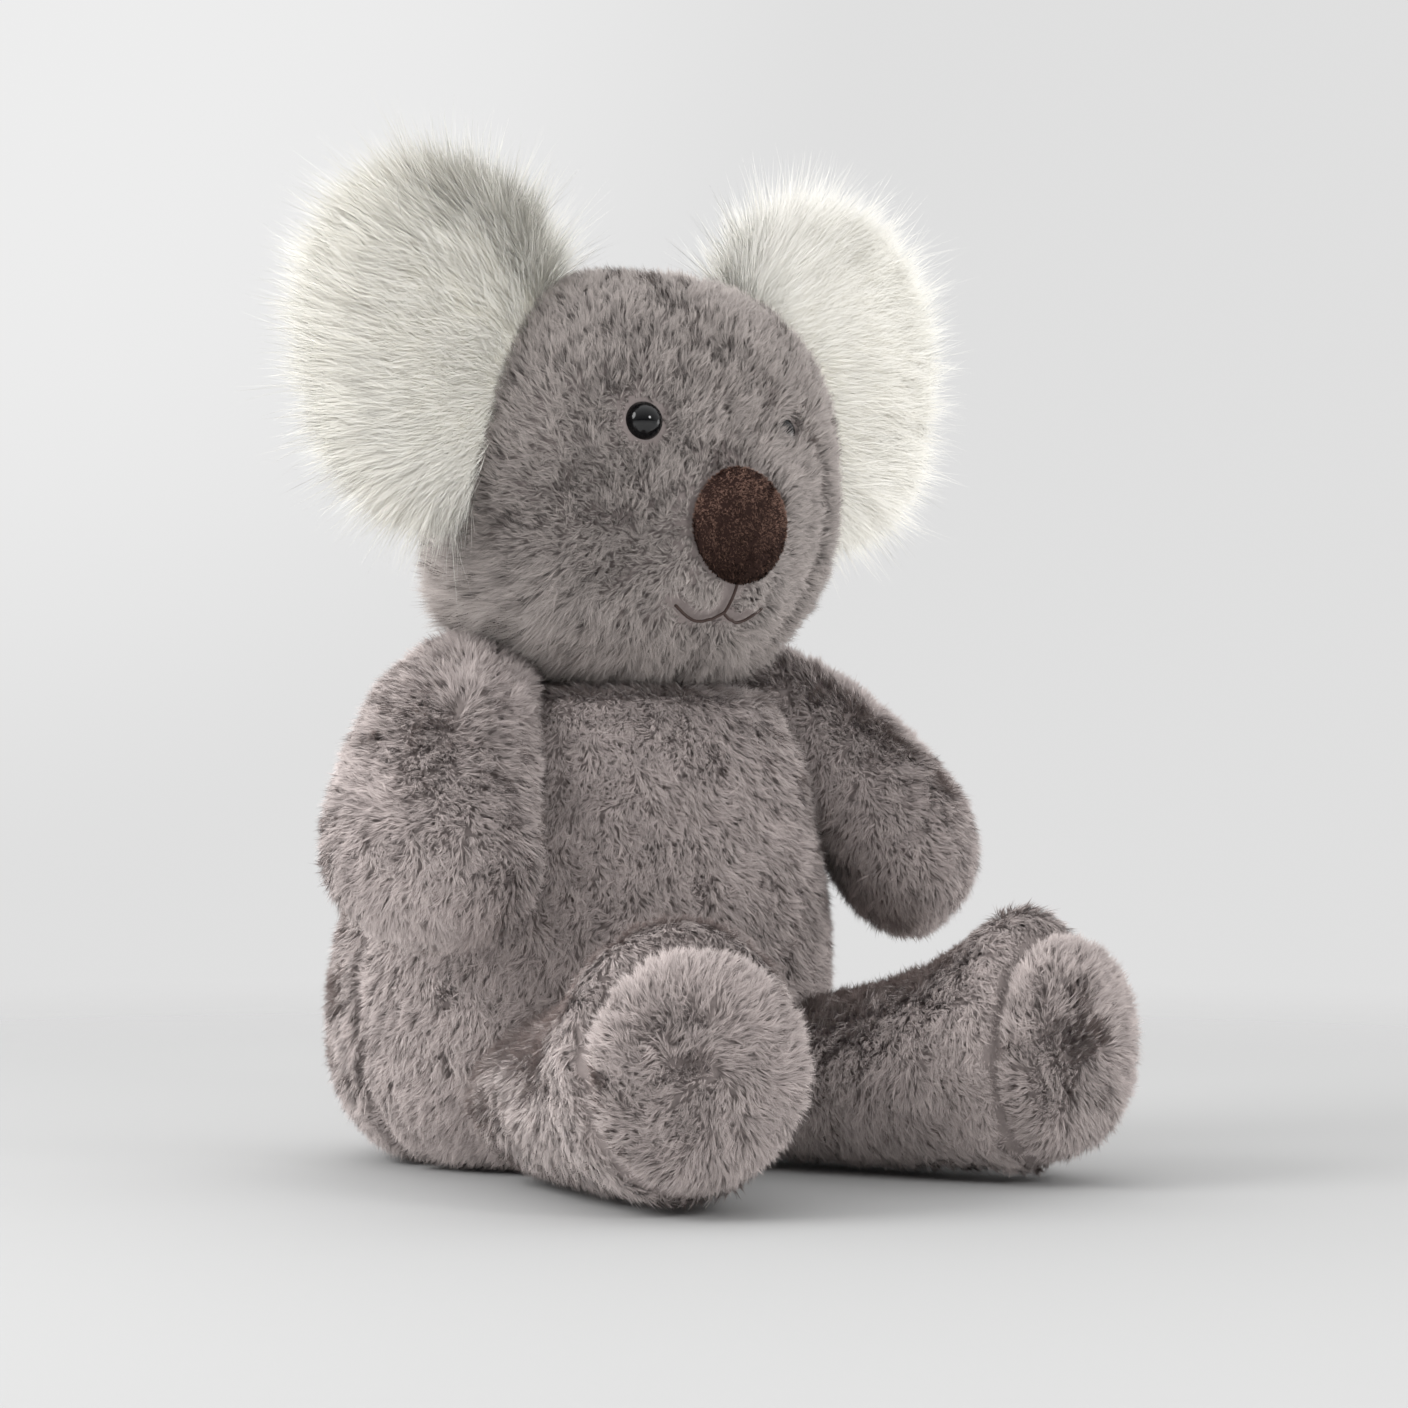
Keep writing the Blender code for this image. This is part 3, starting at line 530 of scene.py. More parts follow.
def pile_material(name, root, middle, tip, sheen=0.1, spread=0.3, specular=0.2):
    """Colour runs from root to tip along a strand, and each strand has its own tone."""
    made, nodes, links, shader = node_material(name)
    uv = nodes.new("ShaderNodeUVMap")
    uv.uv_map = "OFBake"
    split = nodes.new("ShaderNodeSeparateXYZ")
    links.new(uv.outputs["UV"], split.inputs[0])
    ramp = nodes.new("ShaderNodeValToRGB")
    ramp.color_ramp.elements[0].position = 0.05
    ramp.color_ramp.elements[0].color = (*root, 1)
    ramp.color_ramp.elements[1].position = 0.95
    ramp.color_ramp.elements[1].color = (*tip, 1)
    between = ramp.color_ramp.elements.new(0.5)
    between.color = (*middle, 1)
    links.new(split.outputs["Y"], ramp.inputs["Fac"])
    tone = nodes.new("ShaderNodeMapRange")
    tone.inputs["To Min"].default_value = 1 - spread
    tone.inputs["To Max"].default_value = 1 + spread
    links.new(split.outputs["X"], tone.inputs["Value"])
    scaled = nodes.new("ShaderNodeVectorMath")
    scaled.operation = "SCALE"
    links.new(ramp.outputs["Color"], scaled.inputs[0])
    links.new(tone.outputs["Result"], scaled.inputs["Scale"])
    links.new(scaled.outputs["Vector"], shader.inputs["Base Color"])
    shader.inputs["Roughness"].default_value = 0.85
    shader.inputs["Specular IOR Level"].default_value = specular
    shader.inputs["Sheen Weight"].default_value = sheen
    shader.inputs["Sheen Roughness"].default_value = 0.5
    return made


def backing_material(name, colour):
    """The knitted backing under the pile."""
    made, nodes, links, shader = node_material(name)
    place = nodes.new("ShaderNodeTexCoord")
    speckle = nodes.new("ShaderNodeTexNoise")
    speckle.inputs["Scale"].default_value = 900
    links.new(place.outputs["Object"], speckle.inputs["Vector"])
    ramp = nodes.new("ShaderNodeValToRGB")
    ramp.color_ramp.elements[0].color = (*[value * 0.8 for value in colour], 1)
    ramp.color_ramp.elements[1].color = (*[value * 1.1 for value in colour], 1)
    links.new(speckle.outputs["Fac"], ramp.inputs["Fac"])
    links.new(ramp.outputs["Color"], shader.inputs["Base Color"])
    shader.inputs["Roughness"].default_value = 0.95
    shader.inputs["Specular IOR Level"].default_value = 0.05
    return made


def plain_material(name, colour, roughness, specular=0.5):
    made, _, _, shader = node_material(name)
    shader.inputs["Base Color"].default_value = (*colour, 1)
    shader.inputs["Roughness"].default_value = roughness
    shader.inputs["Specular IOR Level"].default_value = specular
    return made


def ease(distance, near, far, low):
    """Rises smoothly from low to 1 as the distance goes from near to far."""
    share = np.clip((distance - near) / (far - near), 0, 1)
    return low + (1 - low) * share * share * (3 - 2 * share)


def bulge(points, centre, radius, height, direction):
    away = np.linalg.norm(points - np.asarray(centre), axis=1)
    return points + np.outer(np.exp(-((away / radius) ** 2)) * height, direction)


def head_points():
    """The head's skin: a rounded form with a muzzle, and a seam down the middle of the face."""
    width, front, back, height = HEAD_SIZE
    half = (width / 2, front, back, height / 2)
    points, triangles = round_form(HEAD_CENTRE, half, -PILE, HEAD_ROUNDNESS, 160, 110)
    points = bulge(points, MUZZLE, 0.026, 0.0085, FORWARD)
    points = bulge(points, CHIN, 0.018, 0.0062, FORWARD)
    for _, side in SIDES:
        points = bulge(points, (side * EYE_PLACE[0], -0.076, EYE_PLACE[1]), 0.009, 0.0012, -FORWARD)
    seam = np.exp(-((points[:, 0] / FACE_SEAM_WIDTH) ** 2)) * (points[:, 1] < HEAD_CENTRE[1] - 0.02)
    points[:, 1] += seam * FACE_SEAM_DEPTH
    cheek = np.exp(-((cheek_distance(points) / SEAM_WIDTH) ** 2))
    return points - unit(points - np.array(HEAD_CENTRE)) * (cheek * SEAM_DEPTH)[:, None], triangles


def cheek_distance(places):
    """How far each place is from the seam between the left cheek and the side of the head."""
    seam_x = np.interp(places[:, 2], CHEEK_SEAM_Z, CHEEK_SEAM_X)
    apart = places[:, 0] - seam_x
    high = np.maximum(places[:, 2] - CHEEK_SEAM_Z[-1], 0) * 1.5
    behind = places[:, 1] > HEAD_CENTRE[1]
    return np.sign(apart) * np.hypot(apart, high) + behind


def body_points():
    """The body's skin, drawn in a little along the side seams."""
    points, triangles = body_form(-BODY_PILE)
    seam = np.exp(-(((points[:, 1] - SEAM_Y) / SEAM_WIDTH) ** 2)) * (points[:, 2] < SEAM_TOP)
    points[:, 0] *= 1 - BODY_SEAM_DRAW * seam
    return points, triangles


def leg_points(side):
    """The leg's skin, with a groove where the sole is sewn in."""
    points, triangles = leg_form(side, -LEG_PILE)
    along, radial = on_leg(points, side)
    groove = np.exp(-(((along - SOLE_SEAM) / SEAM_WIDTH) ** 2)) * SEAM_DEPTH
    reach = np.linalg.norm(radial, axis=1, keepdims=True)
    return points - radial / np.maximum(reach, 1e-6) * np.minimum(groove[:, None], reach), triangles


def on_leg(places, side):
    """How far along the leg each place is, and its way out from the line through the foot's middle."""
    axis = leg_axis(side)
    from_hip = places - np.array([side * HIP[0], HIP[1], FOOT_HEIGHT / 2])
    along = from_hip @ axis
    return along, from_hip - np.outer(along, axis)


def mouth_route():
    """The mouth in the plane of the face: a line down from the nose and a curve across it."""
    top = NOSE_Z - NOSE_SIZE[2] / 2 - 0.0012
    low = top - MOUTH_DROP
    line = [(0.0, z) for z in np.linspace(top + 0.003, low - 0.0004, 24)]
    curve = []
    for share in np.linspace(-1, 1, 61):
        dip = math.sin(math.pi * min(abs(share) / 0.87, 1))
        rise = max(abs(share) / 0.87 - 1, 0)
        curve.append((MOUTH_WIDTH / 2 * share, low - MOUTH_SAG * dip + MOUTH_WIDTH / 3.5 * rise))
    return np.array(line), np.array(curve)


def mouth_distance(places):
    """How far each place on the face is from the mouth's thread, and the way from the thread to it."""
    route = np.concatenate(mouth_route())
    flat = places[:, [0, 2]]
    nearest = np.full(len(places), np.inf)
    way = np.zeros((len(places), 2))
    for point in route:
        apart = flat - point
        distance = np.linalg.norm(apart, axis=1)
        closer = distance < nearest
        nearest[closer] = distance[closer]
        way[closer] = apart[closer]
    nearest[places[:, 1] > HEAD_CENTRE[1]] = np.inf
    return nearest, np.stack([way[:, 0], np.zeros(len(way)), way[:, 1]], 1)


def nose_distance(places):
    """How far outside the nose's rim each place is, seen from the front."""
    across = places[:, 0] / (NOSE_SIZE[0] / 2)
    rise = (places[:, 2] - NOSE_Z) / (NOSE_SIZE[2] / 2)
    distance = (np.hypot(across, rise) - 1) * NOSE_SIZE[0] / 2
    distance[places[:, 1] > HEAD_CENTRE[1]] = np.inf
    return distance


def eye_distances(places):
    return [np.linalg.norm(places - centre, axis=1) for centre in eye_centres.values()]


def head_keep(place, normal):
    kept = mouth_distance(place)[0] > 0.0013
    kept &= nose_distance(place) > -0.0015
    for name, distance in zip(eye_centres, eye_distances(place)):
        kept &= distance > EYE_DIAMETER / 2 + (0.0004 if name == "right" else -0.0006)
    for name in ("right_ear", "left_ear"):
        kept &= ~forms[name].inside(place, 0.002)
    return kept & ~forms["body"].inside(place, -0.010)


def head_reach(place):
    """Shorter pile by the eyes, nose, mouth and seam."""
    reach = ease(mouth_distance(place)[0], 0.0012, 0.006, 0.32)
    reach = reach * ease(nose_distance(place), 0, 0.006, 0.6)
    for centre, distance in zip(eye_centres.values(), eye_distances(place)):
        lashes = np.full(len(place), centre[0] > 0)
        reach = reach * np.where(lashes, 1, ease(distance, EYE_DIAMETER / 2, 0.011, 0.45))
    middle = np.abs(place[:, 0]) + (place[:, 1] > HEAD_CENTRE[1] - 0.02)
    reach = reach * ease(np.abs(cheek_distance(place)), 0.0004, 0.0045, 0.30)
    fluffy = ease(0.195 - place[:, 2], 0, 0.025, 0) * ease(-place[:, 0], 0.030, 0.050, 0)
    under = ease(0.170 - place[:, 2], 0, 0.012, 0)
    return reach * ease(middle, 0, 0.004, 0.85) * (1 + np.maximum(1.2 * fluffy, 0.7 * under))


def head_lift(place):
    """The pile stands up on the lower cheeks."""
    mirrored = np.stack([np.abs(place[:, 0]), place[:, 1], place[:, 2]], 1)
    away = np.linalg.norm(mirrored - np.array(CHEEK), axis=1)
    return lift(place) - 4.0 * np.exp(-((away / 0.030) ** 2))


def head_flow(place, normal):
    """Pile lies away from the nose, the eyes, the mouth and the middle seam."""
    lie = unit(place - np.array(MUZZLE))
    lie[:, 2] += 0.15
    for centre, distance in zip(eye_centres.values(), eye_distances(place)):
        near = 1 - ease(distance, 0.006, 0.014, 0)
        near *= 1 if centre[0] < 0 else -0.3
        lie += unit(place - centre) * (near * 3)[:, None]
    distance, way = mouth_distance(place)
    lie += unit(way) * (1 - ease(distance, 0.001, 0.006, 0))[:, None] * 4
    cheek = cheek_distance(place)
    lie[:, 0] += np.sign(cheek) * (1 - ease(np.abs(cheek), 0, 0.005, 0)) * 2
    middle = np.abs(place[:, 0]) + (place[:, 1] > HEAD_CENTRE[1] - 0.02)
    lie[:, 0] += np.sign(place[:, 0]) * (1 - ease(middle, 0, 0.006, 0)) * 0.7
    return lie


def body_flow(place, normal):
    lie = np.zeros_like(place)
    lie[:, 2] = -1
    lie[:, 0] = np.sign(place[:, 0]) * 0.4
    apart = place[:, 1] - SEAM_Y
    near = (1 - ease(np.abs(apart), 0, 0.008, 0)) * (place[:, 2] < SEAM_TOP)
    lie[:, 1] += np.sign(apart) * near * 2
    return lie


def body_reach(place):
    reach = ease(np.abs(place[:, 1] - SEAM_Y) + (place[:, 2] > SEAM_TOP), 0.0004, 0.0048, 0.30)
    for name in ("right_arm", "left_arm"):
        reach = reach * ease(forms[name].distance(place), 0.0, 0.008, 0.4)
    return reach


def body_lift(place):
    """The pile lies flatter under the head."""
    return lift(place) + 2.5 * ease(place[:, 2], 0.120, 0.140, 0)


def arm_flow(side):
    axis, _, facing, _ = arm_frame(side)
    shoulder = np.array([side * SHOULDER[0], SHOULDER[1], SHOULDER[2]])
    palm = shoulder + axis * ARM_LENGTH * 0.62 + facing * 0.025

    def flow(place, normal):
        away = place - palm
        lie = away / (np.linalg.norm(away, axis=1, keepdims=True) + 0.010)
        return lie + axis * 0.6 - UP * 0.2

    return flow


def leg_flow(side):
    axis = leg_axis(side)

    def flow(place, normal):
        along, radial = on_leg(place, side)
        toward = np.tanh((SOLE_SEAM - 0.003 - along) / 0.003)
        lie = np.outer(toward * 0.6, axis) - UP * 0.8
        sole = along > SOLE_SEAM
        whorl = radial[sole] + np.cross(radial[sole], axis) * 0.5
        lie[sole] = unit(whorl)
        return lie

    return flow


def leg_reach(side):
    def reach(place):
        along, _ = on_leg(place, side)
        return ease(np.abs(along - SOLE_SEAM), 0.0006, 0.0055, 0.25)

    return reach


def leg_lift(side):
    """The pile lies flat on the band around the foot, and stands up in the middle of the sole."""

    def lift_on_leg(place):
        along, radial = on_leg(place, side)
        band = ease(along, SOLE_SEAM - 0.045, SOLE_SEAM - 0.020, 0) * (along < SOLE_SEAM)
        middle = np.exp(-((np.linalg.norm(radial, axis=1) / 0.022) ** 2)) * (along > SOLE_SEAM)
        return lift(place) + 3.5 * band - 2.0 * middle

    return lift_on_leg


def ear_flow(side):
    root = np.array([side * (EAR_CENTRE[0] - 0.038), EAR_CENTRE[1], EAR_CENTRE[2] - 0.016])

    def flow(place, normal):
        return unit(place - root) + ACROSS * (side * 0.45)

    return flow


def rim_share(place):
    """From 0 in the middle of an ear's front to 1 at its rim."""
    across = (np.abs(place[:, 0]) - EAR_CENTRE[0] + EAR_CORE_SHIFT) / EAR_CORE[0]
    rise = (place[:, 2] - EAR_CENTRE[2]) / EAR_CORE[3]
    return ease(np.hypot(across, rise), 0.6, 0.98, 0)


def backward(normal, side):
    """How far an ear's surface turns back, counting the part by the head as turned back more."""
    inward = np.maximum(-side * normal[:, 0], 0)
    return normal[:, 1] + inward * EAR_INWARD_SHARE


def ear_lift(place):
    """The long pile stands straight out around the rim."""
    return lift(place) - 28 * np.exp(-(((place[:, 1] - EAR_CENTRE[1]) / 0.008) ** 2)) * rim_share(place)


def thin_underneath(place, normal):
    """Three in ten tufts are kept where the toy rests on the ground."""
    return (place[:, 2] > UNDERSIDE) | (normal[:, 2] > -0.7) | (rng.random(len(place)) < 0.3)


def limb_keep(*names):
    """Away from what lies deep inside other forms."""

    def keep(place, normal):
        kept = thin_underneath(place, normal)
        for name in names:
            kept &= ~forms[name].inside(place, -0.012)
        return kept

    return keep


def body_keep(place, normal):
    """Sparser where the head and the limbs rest on the body."""
    kept = thin_underneath(place, normal)
    kept &= ~forms["head"].inside(place, -0.006)
    for name in LIMBS:
        crease = 0.0018 if "arm" in name else 0.0
        share = 0.25 if "arm" in name else 0.5
        kept &= ~forms[name].inside(place, crease) | (rng.random(len(place)) < share)
    return kept


# Places on the face, the seams and the mouth
MUZZLE = (0.0, -0.078, NOSE_Z - 0.006)
CHIN = (0.0, -0.082, NOSE_Z - 0.026)
CHEEK = (0.060, -0.050, 0.184)
SEAM_Y = 0.002
SEAM_TOP = 0.125
CHEEK_SEAM_Z = (0.148, 0.1744, 0.1900, 0.2054, 0.2230)
CHEEK_SEAM_X = (0.024, 0.036, 0.0425, 0.0455, 0.0410)
SOLE_SEAM = LEG_LENGTH * 0.805
MOUTH_WIDTH = 0.032
MOUTH_DROP = 0.0048
MOUTH_SAG = 0.0028
LIMBS = ("right_arm", "left_arm", "right_leg", "left_leg")

rng = np.random.default_rng(SEED)
waves = [Noise(rng, 0.050), Noise(rng, 0.018), Noise(rng, 0.008)]
lift = Noise(rng, 0.010)
patches = Noise(rng, 0.010)

# Colours from root through middle to tip
GREY = ((0.200, 0.170, 0.162), (0.350, 0.302, 0.290), (0.475, 0.416, 0.400))
HEAD_GREY = ((0.140, 0.123, 0.116), (0.270, 0.240, 0.226), (0.400, 0.358, 0.338))
IVORY = ((0.83, 0.805, 0.725), (0.85, 0.83, 0.765), (0.86, 0.845, 0.80))
VELVET_BROWN = ((0.012, 0.006, 0.005), (0.054, 0.030, 0.023), (0.190, 0.115, 0.090))

looks = {
    "grey": pile_material("grey_pile", *GREY),
    "head": pile_material("head_pile", *HEAD_GREY),
    "white": pile_material("white_pile", *IVORY, sheen=0.2),
    # The nose pile's wide tone spread carries painted light: its tone is lighter towards the top of the
    # nose and darker towards the bottom.
    "velvet": pile_material("nose_pile", *VELVET_BROWN, sheen=0.0, spread=0.92, specular=0.03),
    "backing": backing_material("grey_backing", (0.24, 0.206, 0.198)),
    "white_backing": backing_material("ivory_backing", (0.88, 0.855, 0.77)),
    "nose_backing": backing_material("nose_backing", (0.022, 0.012, 0.010)),
    "eye": plain_material("eye_gloss", (0.002, 0.002, 0.0025), 0.06, 0.28),
    "thread": plain_material("mouth_thread_look", (0.040, 0.024, 0.020), 0.7, 0.3),
}

forms = {"head": Skin(*head_points()), "body": Skin(*body_points())}
for name, side in SIDES:
    forms[f"{name}_arm"] = Skin(*arm_form(side, -ARM_PILE))
    forms[f"{name}_leg"] = Skin(*leg_points(side))
    ear_place = (side * (EAR_CENTRE[0] - EAR_CORE_SHIFT), EAR_CENTRE[1], EAR_CENTRE[2])
    forms[f"{name}_ear"] = Skin(*round_form(ear_place, EAR_CORE, 0, EAR_ROUNDNESS, 96, 48))

# Skins, and the solids that each of them shows in place of
replaced = {
    "head": ("face_right", "face_left", "head_back", "head_stuffing"),
    "body": ("body_front", "body_back", "body_stuffing", "seat_pellet_pouch"),
    "right_arm": ("right_arm", "right_arm_stuffing"),
    "left_arm": ("left_arm", "left_arm_stuffing"),
    "right_leg": ("right_leg", "right_leg_stuffing", "right_sole"),
    "left_leg": ("left_leg", "left_leg_stuffing", "left_sole"),
}
for name, nodes in replaced.items():
    skin_piece = new_mesh(f"{name}_skin", forms[name].points, forms[name].triangles, looks["backing"])
    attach(skin_piece, name)
    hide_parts(*nodes)
for name, _ in SIDES:
    form = forms[f"{name}_ear"]
    for part, look in (("front", "white_backing"), ("back", "backing")):
        ahead = form.points[form.triangles].mean(1)[:, 1] < EAR_CENTRE[1] + EAR_SPLIT
        faces = form.triangles[ahead if part == "front" else ~ahead]
        used, faces = np.unique(faces, return_inverse=True)
        piece_name = f"{name}_ear_{part}_skin"
        half_ear = new_mesh(piece_name, form.points[used], faces.reshape(-1, 3), looks[look])
        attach(half_ear, f"{name}_ear")
        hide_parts(f"{name}_ear_{part}")
neck_form = Skin(*round_form(NECK_CENTRE, (NECK_RADIUS,) * 4, -NECK_TRIM, NECK_ROUNDNESS, 32, 16))
neck_skin = new_mesh("neck_skin", neck_form.points, neck_form.triangles, looks["backing"])
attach(neck_skin, "neck")
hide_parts("neck_stuffing")


# Eyes, nose and mouth
def on_head(x, z):
    hit, normal, _, _ = forms["head"].search_tree().ray_cast(Vector((x, -0.3, z)), Vector((0, 1, 0)))
    return np.array(hit), unit(np.array([normal[:]]))[0]


eye_centres = {}
for name, side in SIDES:
    hit, axis = on_head(side * EYE_PLACE[0], EYE_PLACE[1])
    eye_centres[name] = hit
    across = unit(np.cross(axis, UP))
    up = np.cross(across, axis)
    base = hit - axis * EYE_SINK[name]
    back = base - axis * EYE_BACK
    rings = [back, ring(back, across, up, EYE_BASE_RADIUS, EYE_BASE_RADIUS, EYE_BASE_RADIUS, 48)]
    for step in range(EYE_RINGS):
        angle = math.pi / 2 * step / EYE_RINGS
        size = EYE_DIAMETER / 2 * math.cos(angle)
        rings.append(ring(base + axis * EYE_DOME * math.sin(angle), across, up, size, size, size, 48))
    rings.append(base + axis * EYE_DOME)
    points, triangles = loft(rings)
    eye = new_mesh(f"{name}_eye_dome", points, outward(points - hit, triangles), looks["eye"])
    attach(eye, "head")
    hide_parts(f"{name}_eye")

nose_centre = on_head(0, NOSE_Z)[0] + FORWARD * NOSE_STAND
nose_half = (NOSE_SIZE[0] / 2, NOSE_SIZE[1], NOSE_SIZE[1], NOSE_SIZE[2] / 2)
nose_skin = Skin(*round_form(nose_centre, nose_half, -NOSE_TRIM, NOSE_ROUNDNESS, 64, 40))
nose = new_mesh("nose_pad", nose_skin.points, nose_skin.triangles, looks["nose_backing"])
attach(nose, "head")
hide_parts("nose")


def thread(name, route):
    places = []
    for x, z in route:
        hit, axis = on_head(x, z)
        places.append(hit + axis * THREAD_LIFT)
    places = np.array(places)
    ahead = unit(np.gradient(places, axis=0))
    rings = [places[0]]
    for place, way in zip(places, ahead):
        across = unit(np.cross(way, FORWARD))
        up = np.cross(across, way)
        rings.append(ring(place, across, up, THREAD_RADIUS, THREAD_RADIUS, THREAD_RADIUS, 12))
    rings.append(places[-1])
    points, triangles = loft(rings)
    return new_mesh(name, points, triangles, looks["thread"])


line, curve = mouth_route()
for name, route in (("mouth_line", line), ("mouth_curve", curve)):
    stitched = thread(name, route)
    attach(stitched, "head")
    if name == "mouth_curve":
        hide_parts("mouth_thread")

# Pile: the short plush, and what differs in the rest
short = {
    "tufts": 1450000,
    "strands": 6,
    "radius": 0.00055,
    "length": 0.0062,
    "width": 0.00018,
    "steps": 2,
    "tilt": 0.78,
    "bend": 0.4,
    "droop": 0.0,
    "sink": 0.0006,
    "gather": 0.80,
    "loose": 0.07,
    "stray": 0.46,
    "swirl": lambda place: waves[0](place) * 0.6 + waves[1](place) * 0.7 + waves[2](place) * 0.9,
    "swirl_amount": 0.45,
    "lift": lift,
    "lift_amount": 0.10,
    "stretch": lambda rng, count: rng.uniform(0.75, 1.1, count),
    "rise": 0.5,
    "soft": 0.72,
    "turn": 0.28,
    "rough": 0.10,
    "lean": lambda place: np.zeros((len(place), 3)),
    "tone": patches,
    "patches": 0.08,
    "tufted": 0.17,
    "tones": 0.12,
    "floor": 0.0003,
}
head_pile = dict(short, reach=head_reach, lift=head_lift)
body_pile = dict(short, reach=body_reach, lift=body_lift)
grow_pile("head_pile", forms["head"], "head", looks["head"], head_flow, rng, head_pile, head_keep)
grow_pile("body_pile", forms["body"], "body", looks["grey"], body_flow, rng, body_pile, body_keep)
for name, side in SIDES:
    arm = f"{name}_arm"
    leg = f"{name}_leg"
    clear = limb_keep("head", "body")
    grow_pile(f"{arm}_pile", forms[arm], arm, looks["grey"], arm_flow(side), rng, short, clear)
    leg_pile = dict(short, reach=leg_reach(side), lift=leg_lift(side))
    clear = limb_keep("body")
    grow_pile(f"{leg}_pile", forms[leg], leg, looks["grey"], leg_flow(side), rng, leg_pile, clear)

long_pile = dict(
    short,
    tufts=2000000,
    strands=8,
    radius=0.0035,
    length=0.019,
    width=0.00012,
    steps=3,
    tilt=1.22,
    bend=0.15,
    droop=0.12,
    gather=0.0,
    loose=0.06,
    stray=0.22,
    swirl_amount=0.12,
    lift_amount=0.03,
    stretch=lambda rng, count: rng.uniform(0.3, 1.02, count) + 0.6 * rng.random(count) ** 8,
    soft=0.35,
    turn=0.05,
    lean=lambda place: np.tile(UP * 0.60 + FORWARD * 0.55, (len(place), 1)),
    rough=0.05,
    lift=ear_lift,
    reach=lambda place: 0.6 + 0.4 * rim_share(place),
    patches=0.02,
    tufted=0.02,
    tones=0.02,
)
back_pile = dict(short, reach=lambda place: 1 - 0.6 * rim_share(place))
wisps = dict(
    long_pile,
    tufts=45000,
    strands=8,
    radius=0.0014,
    length=0.029,
    width=0.00009,
    tilt=1.0,
    gather=0.8,
    loose=0.10,
    stray=0.22,
    stretch=lambda rng, count: rng.uniform(0.75, 1.15, count),
)
for name, side in SIDES:
    ear = f"{name}_ear"

    def on_front(place, normal):
        sparse = rng.random(len(place)) < 0.4 + 0.6 * rim_share(place)
        return sparse & (backward(normal, side) < EAR_TURN) & ~forms["head"].inside(place, 0.0)

    def on_rim(place, normal):
        return (rim_share(place) > 0.6) & on_front(place, normal)

    def on_back(place, normal):
        return (backward(normal, side) >= EAR_TURN) & ~forms["head"].inside(place, -0.004)

    flow = ear_flow(side)
    grow_pile(f"{ear}_front_pile", forms[ear], ear, looks["white"], flow, rng, long_pile, on_front)
    grow_pile(f"{ear}_wisps", forms[ear], ear, looks["white"], flow, rng, wisps, on_rim)
    grow_pile(f"{ear}_back_pile", forms[ear], ear, looks["grey"], flow, rng, back_pile, on_back)

velvet = dict(
    short,
    tufts=3000000,
    strands=4,
    radius=0.0004,
    length=0.0016,
    width=0.00016,
    tilt=0.7,
    gather=0.4,
    stray=0.9,
    swirl_amount=0.9,
    soft=0.85,
    turn=0.15,
    rough=0.25,
    lean=lambda place: np.outer((place[:, 2] - NOSE_Z) / NOSE_SIZE[2] * 1.6, UP),
    # Painted light: the nose pile is painted lighter towards its top and darker towards its bottom, as
    # painted light from above and painted shade beneath.
    tone=lambda place: (place[:, 2] - NOSE_Z) / NOSE_SIZE[2],
    patches=1.0,
    tufted=0.15,
    tones=0.15,
)
grow_pile(
    "nose_pile",
    nose_skin,
    "head",
    looks["velvet"],
    lambda place, normal: np.tile([0.0, 0.0, -1.0], (len(place), 1)),
    rng,
    velvet,
    lambda place, normal: place[:, 1] < nose_centre[1] + 0.003,
)

# Camera
AIM = np.array([0.033, -0.026, 0.144])
VIEW_ANGLE = 38.0
VIEW_RISE = -1.05
DISTANCE = 1.15
FOCAL_PIXELS = 3594.0
PHOTO_PIXELS = 1408.0
azimuth = math.radians(VIEW_ANGLE)
rise = math.radians(VIEW_RISE)
level = math.cos(rise)
toward = np.array([-math.sin(azimuth) * level, -math.cos(azimuth) * level, math.sin(rise)])
rightward = np.array([math.cos(azimuth), -math.sin(azimuth), 0])
camera_data = bpy.data.cameras.new("camera")
camera_data.sensor_width = 36.0
camera_data.lens = 36.0 * FOCAL_PIXELS / PHOTO_PIXELS
camera_data.clip_start = 0.05
camera = bpy.data.objects.new("camera", camera_data)
camera.location = AIM + toward * DISTANCE
camera.rotation_euler = Vector(-toward).to_track_quat("-Z", "Y").to_euler()
bpy.context.scene.collection.objects.link(camera)
bpy.context.scene.camera = camera
bpy.context.scene.view_settings.view_transform = "Standard"

# Studio: light by direction, the shades that the camera sees with a painted pool of light high on the
# left of the wall, and where the floor runs into the wall
BEHIND_LIGHT = 1.38
FRONT_LIGHT = 0.16
ABOVE_LIGHT = 1.15
LEFT_SHARE = 1.12
RIGHT_SHARE = 0.50
WALL_SHADE = 0.742
# The wall's shade at the middle of its painted pool of light
WALL_LIGHT_POOL_SHADE = 0.85
FLOOR_SHADE = 0.338
FLOOR_BOUNCE = 0.80
FLOOR_NEAR = 0.35
FLOOR_FAR = 1.0


def map_range(nodes, links, value, low, high, out_low, out_high, smooth=False):
    node = nodes.new("ShaderNodeMapRange")
    if smooth:
        node.interpolation_type = "SMOOTHSTEP"
    links.new(value, node.inputs["Value"])
    numbers = {"From Min": low, "From Max": high, "To Min": out_low, "To Max": out_high}
    for socket, number in numbers.items():
        node.inputs[socket].default_value = number
    return node.outputs["Result"]


def facing_share(nodes, links, direction, way):
    """How much a direction agrees with a fixed way, from -1 to 1."""
    node = nodes.new("ShaderNodeVectorMath")
    node.operation = "DOT_PRODUCT"
    links.new(direction, node.inputs[0])
    node.inputs[1].default_value = tuple(way)
    return node.outputs["Value"]


def combine(nodes, links, operation, first, second):
    node = nodes.new("ShaderNodeMath")
    node.operation = operation
    links.new(first, node.inputs[0])
    links.new(second, node.inputs[1])
    return node.outputs["Value"]


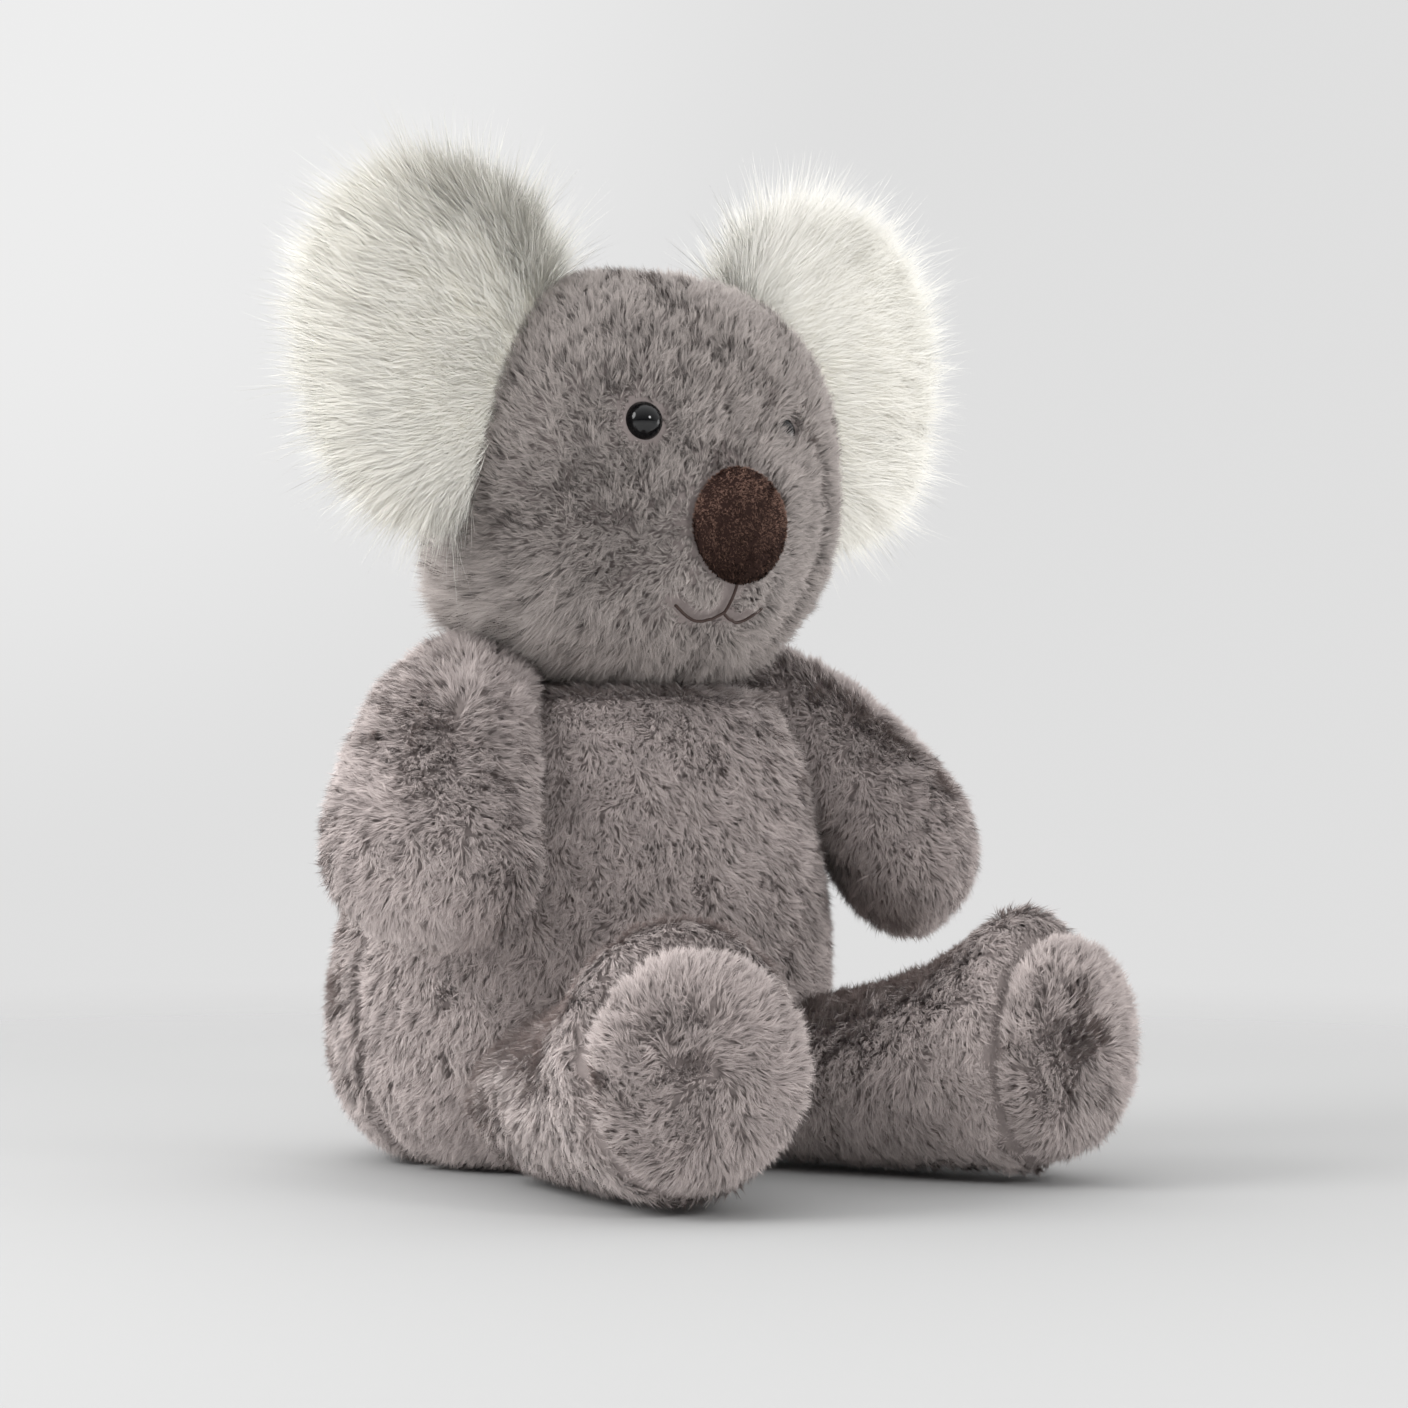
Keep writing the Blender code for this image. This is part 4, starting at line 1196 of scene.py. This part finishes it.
def make_world():
    """A pale studio. It lights from the sides, the back and above, and less from in front."""
    world = bpy.data.worlds.new("studio")
    bpy.context.scene.world = world
    world.use_nodes = True
    nodes = world.node_tree.nodes
    links = world.node_tree.links
    direction = nodes.new("ShaderNodeTexCoord").outputs["Generated"]
    facing = facing_share(nodes, links, direction, toward)
    front = map_range(nodes, links, facing, -0.2, 1.0, BEHIND_LIGHT, FRONT_LIGHT, True)
    rising = facing_share(nodes, links, direction, UP)
    above = map_range(nodes, links, rising, 0.0, 1.0, 0.0, ABOVE_LIGHT)
    light = nodes["Background"]
    high_right = unit((rightward * 0.8 + UP * 0.5 + toward * 0.2)[None])[0]
    turned = facing_share(nodes, links, direction, high_right)
    sides = map_range(nodes, links, turned, -0.6, 1.0, LEFT_SHARE, RIGHT_SHARE)
    around = combine(nodes, links, "MULTIPLY", front, sides)
    links.new(combine(nodes, links, "ADD", around, above), light.inputs["Color"])
    # Painted light: the wall that the camera sees is lighter in a patch towards the upper left, a painted
    # pool of light.
    corner = unit((-toward - rightward * 0.22 + UP * 0.22)[None])[0]
    light_pool_share = facing_share(nodes, links, direction, corner)
    wall = map_range(nodes, links, light_pool_share, 0.965, 1.0, WALL_SHADE, WALL_LIGHT_POOL_SHADE, True)
    seen = nodes.new("ShaderNodeBackground")
    links.new(wall, seen.inputs["Color"])
    rays = nodes.new("ShaderNodeLightPath")
    choose = nodes.new("ShaderNodeMixShader")
    links.new(rays.outputs["Is Camera Ray"], choose.inputs["Fac"])
    links.new(light.outputs["Background"], choose.inputs[1])
    links.new(seen.outputs["Background"], choose.inputs[2])
    links.new(choose.outputs["Shader"], nodes["World Output"].inputs["Surface"])


def make_floor():
    """A pale floor that keeps the shadow near the toy and runs into the wall beyond."""
    look, nodes, links, shader = node_material("studio_floor")
    shader.inputs["Roughness"].default_value = 0.9
    shader.inputs["Specular IOR Level"].default_value = 0.1
    place = nodes.new("ShaderNodeNewGeometry").outputs["Position"]
    distance = nodes.new("ShaderNodeVectorMath")
    distance.operation = "LENGTH"
    links.new(place, distance.inputs[0])
    far = map_range(nodes, links, distance.outputs["Value"], FLOOR_NEAR, FLOOR_FAR, 0.0, 1.0, True)
    rays = nodes.new("ShaderNodeLightPath")
    shade = map_range(nodes, links, rays.outputs["Is Camera Ray"], 0, 1, FLOOR_BOUNCE, FLOOR_SHADE)
    links.new(shade, shader.inputs["Base Color"])
    both = nodes.new("ShaderNodeMath")
    both.operation = "MULTIPLY"
    links.new(far, both.inputs[0])
    links.new(rays.outputs["Is Camera Ray"], both.inputs[1])
    clear = nodes.new("ShaderNodeBsdfTransparent")
    choose = nodes.new("ShaderNodeMixShader")
    links.new(both.outputs["Value"], choose.inputs["Fac"])
    links.new(shader.outputs["BSDF"], choose.inputs[1])
    links.new(clear.outputs["BSDF"], choose.inputs[2])
    links.new(choose.outputs["Shader"], nodes["Material Output"].inputs["Surface"])
    corners = np.array([[-8, -8, 0], [8, -8, 0], [8, 8, 0], [-8, 8, 0]], float)
    floor = new_mesh("studio_ground", corners, np.array([[0, 1, 2], [0, 2, 3]]), look)


def softbox(name, away, size, power):
    """A round lamp, this far away from the point that the camera looks at, and turned to it."""
    light = bpy.data.lights.new(name, "AREA")
    light.shape = "DISK"
    light.size = size
    light.energy = power
    made = bpy.data.objects.new(name, light)
    made.location = AIM + away
    made.rotation_euler = Vector(-away).to_track_quat("-Z", "Y").to_euler()
    bpy.context.scene.collection.objects.link(made)


make_world()
make_floor()
softbox("left_softbox", -rightward * 1.05 + toward * 0.48 + UP * 0.62, 0.80, 15.5)
softbox("right_softbox", rightward * 0.70 + toward * 0.85 + UP * 0.45, 0.28, 4.2)
softbox("side_softbox", rightward * 1.15 - toward * 0.30 - UP * 0.06, 0.60, 2.5)
